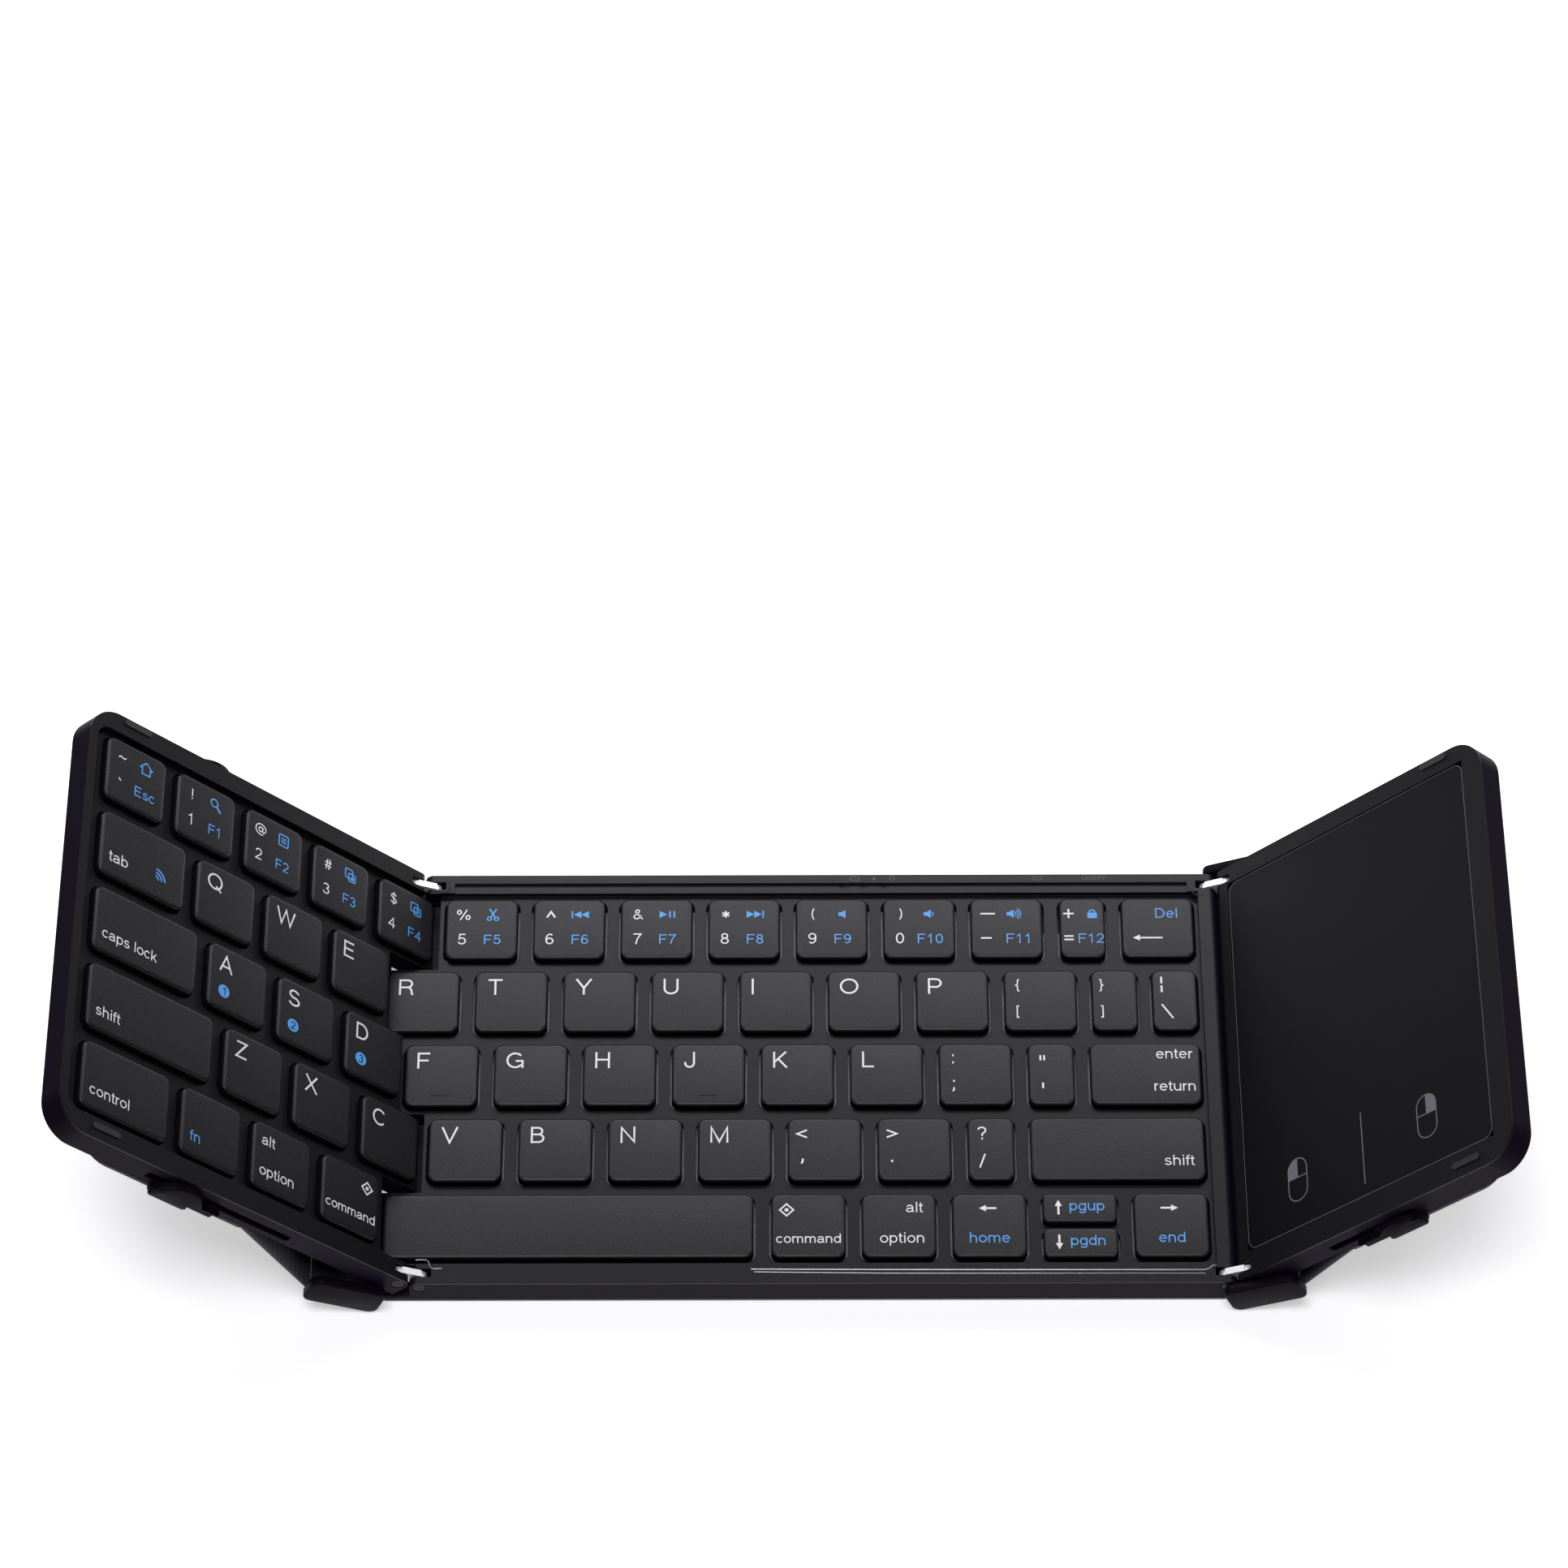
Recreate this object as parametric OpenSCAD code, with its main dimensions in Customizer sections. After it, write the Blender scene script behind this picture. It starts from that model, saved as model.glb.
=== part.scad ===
// Folding keyboard in three sections, with a wrap-around cover whose end panels slide on the wings.
// Frame: +X to the right of the user, +Y away from the user, +Z up, millimetres.
// The origin is the middle of the base cover's bottom face. Wings are drawn flat, then raised.

/* [Keys] */
// Key pitch along a row
pitch_x = 18; // [17.8:0.05:18.1]
// Key pitch from row to row
pitch_y = 17.46; // [17.3:0.02:17.6]
// Width of a standard key cap
cap_w = 15.05; // [14.8:0.05:15.2]
// Depth of a key cap
cap_d = 14.73; // [14.5:0.01:14.8]
// Corner radius of a key cap
cap_r = 1.9; // [1:0.1:2.4]
// Height of a key cap
cap_h = 2.4; // [2.2:0.1:2.4]
// How far a key travels
travel = 1.4; // [1:0.1:1.4]
// Play around a key cap in its hole
cap_gap = 0.3; // [0.25:0.01:0.35]

/* [Body] */
// Depth of every section, front to rear
depth = 95.9; // [95.9:0.1:97]
// Height of the key tops above the table
key_top = 7.3; // [7.3:0.1:7.5]
// Thickness of a section, key tops to shell bottom
body_t = 5.8; // [5.7:0.05:5.8]
// Thickness of the shell floor
floor_t = 0.8; // [0.6:0.1:0.8]
// Thickness of the outer shell walls
wall_t = 1.2; // [1:0.1:1.3]
// Length of the left wing, from the middle of its hinge
left_len = 89.8; // [89:0.1:90]
// Length of the right wing, from the middle of its hinge
right_len = 71.6; // [71:0.1:72]
// Corner radius of the wings' free ends
end_r = 7; // [4:0.5:8]

/* [Hinges] */
// Distance of each hinge's middle from the middle of the part
half_span = 82.05; // [82:0.05:82.3]
// Distance between the two pins of a hinge
pin_gap = 4.4; // [4.4:0.1:4.6]
// Depth of the pins below the key tops
pin_drop = 2.0; // [1.9:0.05:2]
// Radius of a hinge pin
pin_r = 0.8; // [0.6:0.05:0.85]
// Running clearance of a pin in its bore
pin_play = 0.05; // [0.02:0.01:0.08]

/* [Cover] */
// Thickness of the cover panels
cover_t = 1.25; // [1:0.05:1.25]
// Length of the spine's end blocks
block_len = 15.5; // [15:0.1:16]
// Height of the spine's end blocks
block_h = 7.6; // [7:0.1:8]
// Thickness of an end block, front to rear
block_t = 2.2; // [1.5:0.1:2.4]

/* [Pose] */
// Angle of the left wing above flat
left_fold = 45.7; // [0:0.1:90]
// Angle of the right wing above flat
right_fold = 46.1; // [0:0.1:90]

/* [Hidden] */
$fn = 48;
yr = depth/2;                 // rear face
yf = -depth/2;                // front face
zt = key_top;                 // key tops
zb = key_top - body_t;        // shell bottom
zrim = zt - 0.1;              // top of the frame's rim
zwall = zt - 0.5;             // top of the shell walls
zbed = zt - 1.5;              // bed between the keys
zbed0 = zbed - 1.0;           // underside of the bed
x5 = -77.35;                  // left edge of the centre's first key in the top row
y0 = yr - 5.7;                // rear edge of the top row of keys
bgap = 0.35;                  // half the gap between two sections
kgap = pitch_x - cap_w;       // gap between two keys
xl = -half_span;              // middle of the left hinge
xr = half_span;               // middle of the right hinge
zp = zt - pin_drop;           // height of the pins
key_right = x5 + 154.1;       // right edge of the last key of every row
key_left = x5 - 5*pitch_x;    // left edge of the first key of every row
eps = 0.01;

// Where a row of keys lies, front to rear
function row_y(k) = y0 - k*pitch_y - cap_d;
// Left edge of the first centre key in each row
x_row1 = x5 - 0.638*pitch_x;
x_row2 = x5 - 0.3953*pitch_x;
x_row3 = x5 - 0.0966*pitch_x;
x_row4 = x5 - 0.565*pitch_x;
// Left edge of the first square key of each left row
lx1 = x_row1 - 3*pitch_x;
lx2 = x_row2 - 3*pitch_x;
lx3 = x_row3 - 3*pitch_x;
lx4 = key_left + 21.71 + kgap;

// The zig-zag edge between left wing and centre: rear strip, five rows, front strip
zx = [xl, x5 - 1.5, x_row1 - kgap/2, x_row2 - kgap/2, x_row3 - kgap/2 + 0.1, x_row4 - 2.05, xl];
zy = [y0 + 1.45, y0 - pitch_y + 1.365, y0 - 2*pitch_y + 1.365, y0 - 3*pitch_y + 1.365, y0 - 4*pitch_y + 1.365, row_y(4) - 1.13];
function sgn(a) = a > 0 ? 1 : (a < 0 ? -1 : 0);
// Corner points of the zig-zag from rear to front, moved by i to the right
function zig(i, yt, yb) = [for (k = [0:6]) each [
    [zx[k] + i, k == 0 ? yt : zy[k-1] - i*sgn(zx[k-1] - zx[k])],
    [zx[k] + i, k == 6 ? yb : zy[k] - i*sgn(zx[k] - zx[k+1])]]];

// Key tables: [left edge, width]
function std(x, n) = [for (i = [0:n-1]) [x + i*pitch_x, cap_w]];
digit_c = std(x5, 7);
top_c = std(x_row1, 8);
home_c = std(x_row2, 7);
bottom_c = std(x_row3, 6);
equals_c = [[x5 + 126.35, 9.6]];
delete_c = [[key_right - cap_w, cap_w]];
bracket_c = [[x5 + 132.35, 9.6]];
backslash_c = [[key_right - 9.4, 9.4]];
quote_c = [[x5 + 118.95, 9.6]];
enter_c = [[x5 + 131.5, 22.6]];
slash_c = [[x5 + 106.35, 9.6]];
shift_c = [[x5 + 118.95, 35.15]];
space_c = [[x_row4, 73.84]];
mod_c = std(x5 + 66.93, 2);
left_arrow_c = [[x5 + 102.93, cap_w]];
right_arrow_c = [[key_right - cap_w, cap_w]];
page_c = [[x5 + 120.98, cap_w]];
esc_l = [[key_left, cap_w]];
digit_l = std(key_left + pitch_x, 4);
tab_l = [[key_left, lx1 - kgap - key_left]];
top_l = std(lx1, 3);
caps_l = [[key_left, lx2 - kgap - key_left]];
home_l = std(lx2, 3);
shift_l = [[key_left, lx3 - kgap - key_left]];
bottom_l = std(lx3, 3);
control_l = [[key_left, lx4 - kgap - key_left]];
fn_l = std(lx4, 1);
alt_l = std(lx4 + pitch_x, 1);
command_l = std(lx4 + 2*pitch_x, 1);

// Placing a piece drawn flat: the left wing's outer end rises, then the right one's
// Each wing turns about the outer pin of its links, and the links by half the angle about the inner pin
module on_left_link() translate([xl + pin_gap/2, 0, zp]) rotate([0, left_fold/2, 0]) translate([-xl - pin_gap/2, 0, -zp]) children();
module on_right_link() translate([xr - pin_gap/2, 0, zp]) rotate([0, -right_fold/2, 0]) translate([-xr + pin_gap/2, 0, -zp]) children();
module on_left_wing() on_left_link() translate([xl - pin_gap/2, 0, zp]) rotate([0, left_fold/2, 0]) translate([-xl + pin_gap/2, 0, -zp]) children();
module on_right_wing() on_right_link() translate([xr + pin_gap/2, 0, zp]) rotate([0, -right_fold/2, 0]) translate([-xr - pin_gap/2, 0, -zp]) children();
// Spine pivots, on the fold line of the cover. A spine turns by half its wing's angle
plx = xl - 7.85;
prx = xr + 0.6;
pz = 1.95;
module on_left_spine() translate([plx, 0, pz]) rotate([0, left_fold/2, 0]) translate([-plx, 0, -pz]) children();
module on_right_spine() translate([prx, 0, pz]) rotate([0, -right_fold/2, 0]) translate([-prx, 0, -pz]) children();

// Rounded rectangle from its corner, exact
module rrect(w, d, r) {
    translate([r, 0]) square([w - 2*r, d]);
    translate([0, r]) square([w, d - 2*r]);
    for (x = [r, w - r], y = [r, d - r]) translate([x, y]) circle(r, $fn = 32);
}
module bar_y(x, z, r, ya, yb) translate([x, yb, z]) rotate([90, 0, 0]) cylinder(h = yb - ya, r = r, $fn = 32);

// One key cap: a hollow cap with a plunger
module cap(x, yb, w, d = cap_d) {
    difference() {
        translate([x, yb, zt - cap_h]) linear_extrude(cap_h) rrect(w, d, cap_r);
        translate([x + 1.1, yb + 1.1, zt - cap_h - 1]) cube([w - 2.2, d - 2.2, 2.2]);
    }
    translate([x + w/2, yb + d/2, zt - cap_h]) cylinder(h = 1.3, r = 2.2, $fn = 24);
}
module caps(list, row) color("#1c1c1e") for (k = list) cap(k[0], row_y(row), k[1]);
module holes(list, row, d = cap_d, dy = 0) for (k = list)
    translate([k[0] - cap_gap, row_y(row) - cap_gap + dy, zbed0 - 1]) linear_extrude(4) rrect(k[1] + 2*cap_gap, d + 2*cap_gap, cap_r + cap_gap);
module domes(list, row, z0, d = cap_d, dy = 0) for (k = list)
    translate([k[0] + k[1]/2, row_y(row) + d/2 + dy, z0]) cylinder(h = zt - cap_h - travel - 0.08 - z0, r1 = 3, r2 = 2, $fn = 24);
half_d = (cap_d - 1.0)/2;

// Outlines
module centre_outline(o, z) {
    polygon(concat(zig(bgap + z, yr - o, yf + o), [[xr - pin_gap/2 + 1.95 - o, yf + o], [xr - pin_gap/2 + 1.95 - o, yr - o]]));
}
module left_outline(o, z) {
    a = xl - left_len + o;
    r = max(end_r - o, 0.5);
    difference() {
        polygon(concat(zig(-bgap - z, yr - o, yf + o), [[a, yf + o], [a, yr - o]]));
        translate([a - 1, yf + o - 1]) square([r + 1, r + 1]);
        translate([a - 1, yr - o - r]) square([r + 1, r + 1]);
    }
    for (y = [yf + o + r, yr - o - r]) translate([a + r, y]) circle(r, $fn = 48);
}
module right_outline(o, z) {
    b = xr + right_len - o;
    a = xr + pin_gap/2 - 1.95 + z;
    r = max(end_r - o, 0.5);
    translate([a, yf + o]) square([b - r - a, depth - 2*o]);
    translate([a, yf + o + r]) square([b - a, depth - 2*o - 2*r]);
    for (y = [yf + o + r, yr - o - r]) translate([b - r, y]) circle(r, $fn = 48);
}
// The strips at front and rear that hold the links: s = 1 on the side to the right of the hinge's middle
link_y = [[yr - 3.4, yr - 1.6], [yf + 1.6, yf + 3.4]];
module lugs(xh, s) for (r = [[yr - 4.1, yr], [yf, yf + 4.1]])
    translate([s > 0 ? xh + 0.25 : xh - 6.2, r[0], zb]) cube([5.95, r[1] - r[0], zwall - zb]);
module link_pockets(xh, s) {
    for (r = link_y) translate([s > 0 ? xh - 1 : xh - 4.6, r[0], zp - 1.65]) cube([5.6, r[1] - r[0], 8]);
    bar_y(xh + s*pin_gap/2, zp, pin_r + pin_play, yf - 1, yf + 6);
    bar_y(xh + s*pin_gap/2, zp, pin_r + pin_play, yr - 6, yr + 1);
    bar_y(xh + s*pin_gap/2, zp, 1.35, yf - 1, yf + 0.5);
    bar_y(xh + s*pin_gap/2, zp, 1.35, yr - 0.5, yr + 1);
}
// Cuts an upper edge back to a round of radius 1.95 about the pins
module nose_cut(xh, s, ya, yb) difference() {
    translate([s > 0 ? xh - 2 : xh - pin_gap/2, ya, zp]) cube([2 + pin_gap/2, yb - ya, 8]);
    bar_y(xh + s*pin_gap/2, zp, 1.95, ya - 1, yb + 1);
}
// Cuts the lower edge of a raised row to a round of radius r, edge at x, body to the left
module belly_cut(x, r, ya, yb) difference() {
    translate([x - r, ya, zb - 1]) cube([r + 1, yb - ya, r + 1]);
    bar_y(x - r, zb + r, r, ya - 1, yb + 1);
}
key_zone_y0 = zy[5];
key_zone_y1 = zy[0];

module tray(kind) {
    difference() {
        union() {
            difference() {
                translate([0, 0, zb]) linear_extrude(zwall - zb) { if (kind == 0) centre_outline(0, 0); if (kind == 1) left_outline(0, 0); if (kind == 2) right_outline(0, 0); }
                translate([0, 0, zb + floor_t]) linear_extrude(10) { if (kind == 0) centre_outline(wall_t, 0.6); if (kind == 1) left_outline(wall_t, 0.8); if (kind == 2) right_outline(wall_t, 1.2); }
                if (kind == 0) translate([xl - 20, key_zone_y0, zbed0]) cube([30, key_zone_y1 - key_zone_y0, 10]);
                if (kind == 1) translate([xl - 22, key_zone_y0, zbed0]) cube([40, key_zone_y1 - key_zone_y0, 10]);
            }
            if (kind == 0) { lugs(xl, 1); lugs(xr, -1); }
            if (kind == 1) {
                lugs(xl, -1);
                translate([zx[1] - bgap - 2.2, zy[1] + bgap, zb]) cube([2.2, zy[0] - zy[1] - 2*bgap, 1.85]);
                translate([zx[4] - bgap - 1.4, zy[4] + bgap, zb]) cube([1.4, zy[3] - zy[4] - 2*bgap, 1.4]);
            }
            if (kind == 2) lugs(xr, 1);
        }
        section_cuts(kind);
        if (kind == 1) for (y = [yf - 1, yr - 3]) translate([lslot0, y, zp - 2.6]) cube([lslot1 - lslot0, 4, 1.8]);
        if (kind == 2) for (y = [yf - 1, yr - 3]) translate([rslot0, y, zp - 2.6]) cube([rslot1 - rslot0, 4, 1.8]);
        if (kind == 0) {
            translate([port_x - 3.8, yr - 3, zb + floor_t - eps]) cube([7.6, 4, 2.55]);
            translate([switch_x - 3.3, yr - 3, zb + 1.5]) cube([6.6, 4, 1.7]);
        }
    }
}
module section_cuts(kind) {
    if (kind == 0) {
        link_pockets(xl, 1); link_pockets(xr, -1);
        nose_cut(xl, 1, yf - 1, key_zone_y0 - 0.3); nose_cut(xl, 1, key_zone_y1 + 0.1, yr + 1);
        nose_cut(xr, -1, yf - 1, yr + 1);
    }
    if (kind == 1) {
        link_pockets(xl, -1);
        nose_cut(xl, -1, yf - 1, key_zone_y0 - 0.3); nose_cut(xl, -1, key_zone_y1 + 0.1, yr + 1);
        belly_cut(zx[1] - bgap, 2.2, zy[1] - 1, zy[0] + 1);
        belly_cut(zx[4] - bgap, 1.2, zy[4] - 1, zy[3] + 1);
    }
    if (kind == 2) { link_pockets(xr, 1); nose_cut(xr, 1, yf - 1, yr + 1); }
}
port_x = x5 + 123.2;
switch_x = x5 + 135.3;
led_x = [x5 + 81.9, x5 + 86.1, x5 + 90.3];
led_y = yr - 2.6;

module centre_shell() color("#2a2530") tray(0);
module left_shell() on_left_wing() color("#2a2530") tray(1);
module right_shell() on_right_wing() color("#2a2530") tray(2);

// Frame: bed plate with key holes and a raised rim
module frame_body(kind) difference() {
    union() {
        translate([0, 0, zbed0]) linear_extrude(zbed - zbed0) { if (kind == 0) centre_outline(wall_t + 0.05, 0); if (kind == 1) left_outline(wall_t + 0.05, 0); }
        translate([0, 0, zbed - eps]) linear_extrude(zwall - zbed + 2*eps) { if (kind == 0) centre_outline(wall_t + 0.05, 0); if (kind == 1) left_outline(wall_t + 0.05, 0); }
        translate([0, 0, zwall]) linear_extrude(zrim - zwall) { if (kind == 0) centre_outline(0, 0); if (kind == 1) left_outline(0, 0); }
    }
    // key field, sunk to the bed
    if (kind == 0) translate([xl - 20, key_zone_y0, zbed]) cube([key_right + 1.1 - xl + 20, key_zone_y1 - key_zone_y0, 5]);
    if (kind == 1) translate([key_left - 2.7, key_zone_y0, zbed]) linear_extrude(5) {
        w = xl - key_left + 22; d = key_zone_y1 - key_zone_y0; r = 3;
        translate([r, 0]) square([w, d]);
        translate([0, r]) square([w, d - 2*r]);
        for (y = [r, d - r]) translate([r, y]) circle(r, $fn = 32);
    }
    // the rear strip of the rim lies lower, behind it a groove
    if (kind == 0) {
        translate([xl + 6.4, key_zone_y1 - 0.1, zrim - 0.35]) cube([2*half_span - 12.8, yr - 2 - key_zone_y1 + 0.1, 2]);
        translate([xl + 6.4, yr - 2.8, zrim - 0.6]) cube([2*half_span - 12.8, 0.8, 2]);
        wall_room(xl, key_zone_y0 - 0.4, 0.4); wall_room(xl, key_zone_y1, 0.15);
    }
    if (kind == 1) {
        wall_room(xl - 1.25, key_zone_y1, 0.15);
        translate([zx[5] - bgap - 0.85, key_zone_y0 - 1.2, zbed0 - 1]) cube([xl - zx[5] + 1.2, 1.2, zwall - zbed0 + 1]);
    }
    section_cuts(kind);
    if (kind == 0) { lug_room(xl, 1); lug_room(xr, -1); }
    if (kind == 1) lug_room(xl, -1);
}
module wall_room(x, y, d) translate([x, y, zbed0 - 1]) cube([1.25, d, zwall - zbed0 + 1]);
module lug_room(xh, s) for (r = [[yr - 4.15, yr + 1], [yf - 1, yf + 4.15]])
    translate([s > 0 ? xh - 1 : xh - 6.25, r[0], zbed0 - 1]) cube([7.25, r[1] - r[0], zwall - zbed0 + 1]);

module centre_frame() color("#121214") difference() {
    frame_body(0);
    holes(digit_c, 0); holes(equals_c, 0); holes(delete_c, 0);
    holes(top_c, 1); holes(bracket_c, 1); holes(backslash_c, 1);
    holes(home_c, 2); holes(quote_c, 2); holes(enter_c, 2);
    holes(bottom_c, 3); holes(slash_c, 3); holes(shift_c, 3);
    holes(space_c, 4); holes(mod_c, 4); holes(left_arrow_c, 4); holes(right_arrow_c, 4);
    holes(page_c, 4, half_d, 0); holes(page_c, 4, half_d, half_d + 1.0);
    for (x = led_x) translate([x, led_y, zbed0 - 1]) cylinder(h = 5, r = 0.62, $fn = 24);
}
module left_frame() on_left_wing() color("#121214") difference() {
    frame_body(1);
    holes(esc_l, 0); holes(digit_l, 0); holes(tab_l, 1); holes(top_l, 1);
    holes(caps_l, 2); holes(home_l, 2); holes(shift_l, 3); holes(bottom_l, 3);
    holes(control_l, 4); holes(fn_l, 4); holes(alt_l, 4); holes(command_l, 4);
    bumper_cut(xl - left_len + 11.6);
}
// Touchpad section: a ring around the pad
pad_x0 = xr + 4.0; pad_x1 = xr + 66.9; pad_y0 = yf + 5.5; pad_y1 = yr - 4.1;
module right_frame() on_right_wing() color("#101012") difference() {
    union() {
        translate([0, 0, zbed0]) linear_extrude(zwall - zbed0 + eps) right_outline(wall_t + 0.05, 1.25);
        translate([0, 0, zwall]) linear_extrude(zrim - zwall) right_outline(0, 0);
    }
    translate([pad_x0, pad_y0, zbed]) cube([pad_x1 - pad_x0, pad_y1 - pad_y0, 5]);
    translate([pad_x0 + 3, pad_y0 + 3, zbed0 - 1]) cube([pad_x1 - pad_x0 - 6, pad_y1 - pad_y0 - 6, 5]);
    section_cuts(2);
    lug_room(xr, 1);
    bumper_cut(xr + right_len - 11.8);
}
module touchpad_panel() on_right_wing() color("#141416") translate([pad_x0 + 0.15, pad_y0 + 0.15, zbed]) linear_extrude(zt - 0.3 - zbed) rrect(pad_x1 - pad_x0 - 0.3, pad_y1 - pad_y0 - 0.3, 2.2);
module touchpad_board() on_right_wing() color("#1e4a34") translate([pad_x0 + 3.3, pad_y0 + 3.3, zbed0]) cube([pad_x1 - pad_x0 - 6.6, pad_y1 - pad_y0 - 6.6, zbed - zbed0]);
module battery() on_right_wing() color("#8d9096") translate([pad_x0 + 6, -26, zb + floor_t]) linear_extrude(zbed0 - zb - floor_t - 0.15) rrect(48, 52, 2);

// Rubber bumpers in the rim of each wing
module bumper(x, y) translate([x - 3.4, y - 0.65, zwall]) linear_extrude(0.65) rrect(6.8, 1.3, 0.64);
module bumper_cut(x) for (y = [yr - 1.1, yf + 2.7]) translate([x - 3.4, y - 0.65, zwall]) linear_extrude(2) rrect(6.8, 1.3, 0.64);
module left_bumpers() color("#262628") on_left_wing() for (y = [yr - 1.1, yf + 2.7]) bumper(xl - left_len + 11.6, y);
module right_bumpers() color("#262628") on_right_wing() for (y = [yr - 1.1, yf + 2.7]) bumper(xr + right_len - 11.8, y);

// Inside: circuit board, switch sheets, port, switch, lights
board_z = zb + floor_t;
module main_board() color("#1e4a34") translate([-40, yf + 6, board_z]) cube([112, depth - 12, 0.6]);
module centre_switch_sheet() color("#c9ccd0") {
    z0 = board_z + 0.6;
    difference() {
        translate([x5 + 0.1, row_y(4) + 0.5, z0]) cube([key_right - x5 - 0.7, y0 - row_y(4) - 1.4, 0.2]);
        translate([port_x - 4.2, yr - 12, z0 - 1]) cube([8.4, 10, 3]);
    }
    translate([x_row1 + 1, row_y(1) + 0.6, z0]) cube([16, cap_d - 1.2, 0.2]);
    translate([x_row2 + 1, row_y(2) + 0.6, z0]) cube([16, cap_d - 1.2, 0.2]);
    translate([x_row4 + 1, row_y(4) + 0.6, z0]) cube([16, cap_d - 1.2, 0.2]);
    z1 = z0 + 0.19;
    domes(digit_c, 0, z1); domes(equals_c, 0, z1); domes(delete_c, 0, z1);
    domes(top_c, 1, z1); domes(bracket_c, 1, z1); domes(backslash_c, 1, z1);
    domes(home_c, 2, z1); domes(quote_c, 2, z1); domes(enter_c, 2, z1);
    domes(bottom_c, 3, z1); domes(slash_c, 3, z1); domes(shift_c, 3, z1);
    domes(space_c, 4, z1); domes(mod_c, 4, z1); domes(left_arrow_c, 4, z1); domes(right_arrow_c, 4, z1);
    for (dy = [0, half_d + 1.0]) translate([page_c[0][0] + cap_w/2, row_y(4) + half_d/2 + dy, z1]) cylinder(h = zt - cap_h - travel - 0.08 - z1, r = 2, $fn = 24);
}
module left_switch_sheet() color("#c9ccd0") on_left_wing() {
    translate([key_left + 0.5, row_y(4) + 0.5, board_z]) cube([lx4 + 3*pitch_x - kgap - 1.5 - key_left, y0 - row_y(4) - 1, 0.3]);
    translate([x5 - 20, row_y(0) + 0.6, board_z]) cube([15.5, cap_d - 1.2, 0.3]);
    translate([lx3 + 30, row_y(3) + 0.6, board_z]) cube([19, cap_d - 1.2, 0.3]);
    z1 = board_z + 0.29;
    domes(esc_l, 0, z1); domes(digit_l, 0, z1); domes(tab_l, 1, z1); domes(top_l, 1, z1);
    domes(caps_l, 2, z1); domes(home_l, 2, z1); domes(shift_l, 3, z1); domes(bottom_l, 3, z1);
    domes(control_l, 4, z1); domes(fn_l, 4, z1); domes(alt_l, 4, z1); domes(command_l, 4, z1);
}
module charging_port() color("#b8bbc0") difference() {
    translate([port_x - 3.7, yr - 5.4, board_z]) cube([7.4, 5.3, 2.4]);
    translate([port_x - 3.3, yr - 4.9, board_z + 0.35]) cube([6.6, 6, 1.7]);
    translate([port_x - 2.5, yr - 7, board_z + 1.0]) cube([5, 3, 0.5]);
}
module power_switch() color("#3a3a3d") {
    translate([switch_x - 2.9, yr - 2.6, zb + 1.75]) cube([3.0, 3.1, 1.2]);
    translate([switch_x - 3.1, yr - 2.5, zb + 1.65]) cube([3.4, 1.1, 1.4]);
}
module indicator_lights() color("#dfe6ea") for (x = led_x) translate([x, led_y, zbed0 - 0.4]) cylinder(h = zrim - zbed0 - 0.25, r = 0.6, $fn = 24);

// Hinges: a link on two pins at front and rear
module link(xh) for (r = link_y) {
    ya = r[0] + 0.2; yb = r[1] - 0.2;
    difference() {
        union() {
            bar_y(xh - pin_gap/2, zp, 1.45, ya, yb);
            bar_y(xh + pin_gap/2, zp, 1.45, ya, yb);
            translate([xh - pin_gap/2, ya, zp - 1.3]) cube([pin_gap, yb - ya, 2.6]);
            translate([xh - 2.0, ya, zp]) cube([4.0, yb - ya, 1.75]);
        }
        bar_y(xh - pin_gap/2, zp, pin_r, ya - 1, yb + 1);
        bar_y(xh + pin_gap/2, zp, pin_r, ya - 1, yb + 1);
    }
}
module pins(xh) for (x = [xh - pin_gap/2, xh + pin_gap/2]) {
    bar_y(x, zp, pin_r, yf + 0.15, yf + 4.0);
    bar_y(x, zp, pin_r, yr - 4.0, yr - 0.15);
    bar_y(x, zp, 1.2, yf + 0.05, yf + 0.4);
    bar_y(x, zp, 1.2, yr - 0.4, yr - 0.05);
}
module left_hinge_links() color("#d9dade") on_left_link() link(xl);
module right_hinge_links() color("#d9dade") on_right_link() link(xr);
module left_hinge_pins() color("#6e7076") on_left_link() pins(xl);
module right_hinge_pins() color("#6e7076") on_right_link() pins(xr);

// Cover: base, fold strips, spines with end blocks, panels
base_x0 = plx + 2.55;
base_x1 = prx - 2.55;
fold_len = 12.35;
module base_cover() color("#2b2a31") {
    translate([base_x0, yf, 0]) cube([base_x1 - base_x0, depth, cover_t]);
    translate([xl + 4, yf + 3, cover_t - eps]) cube([2*half_span - 8, depth - 6, zb - cover_t + eps]);
}
// Side view of a spine: u outward from the pivot, v up from the table
module spine_block() intersection() {
    rrect_uv();
    union() { translate([-1.95, 1.95]) square([block_len + 1, block_h + 1]); translate([0, 0]) square([block_len + 1, 3]); circle_at_pivot(); }
}
module rrect_uv() translate([-1.95, 0]) rrect(block_len, block_h, 1.9);
module circle_at_pivot() translate([0, 1.95]) circle(1.95, $fn = 48);
module spine_flat(s) {
    for (y = [yr + 0.3 + block_t, yf - 0.3]) translate([0, y, 0]) rotate([90, 0, 0]) linear_extrude(block_t) scale1(s) spine_block();
    translate([0, yr + 0.4, 0]) rotate([90, 0, 0]) linear_extrude(depth + 0.8) scale1(s) {
        difference() { intersection() { translate([-1.9, 0]) square([fold_len + 1.5, cover_t]); union() { translate([0, 0]) square([20, 5]); circle_at_pivot(); } } }
    }
}
module scale1(s) { if (s > 0) children(); else mirror([1, 0]) children(); }
module left_spine() color("#1d1b22") on_left_spine() translate([plx, 0, 0]) spine_flat(-1);
module right_spine() color("#1d1b22") on_right_spine() translate([prx, 0, 0]) spine_flat(1);

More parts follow.
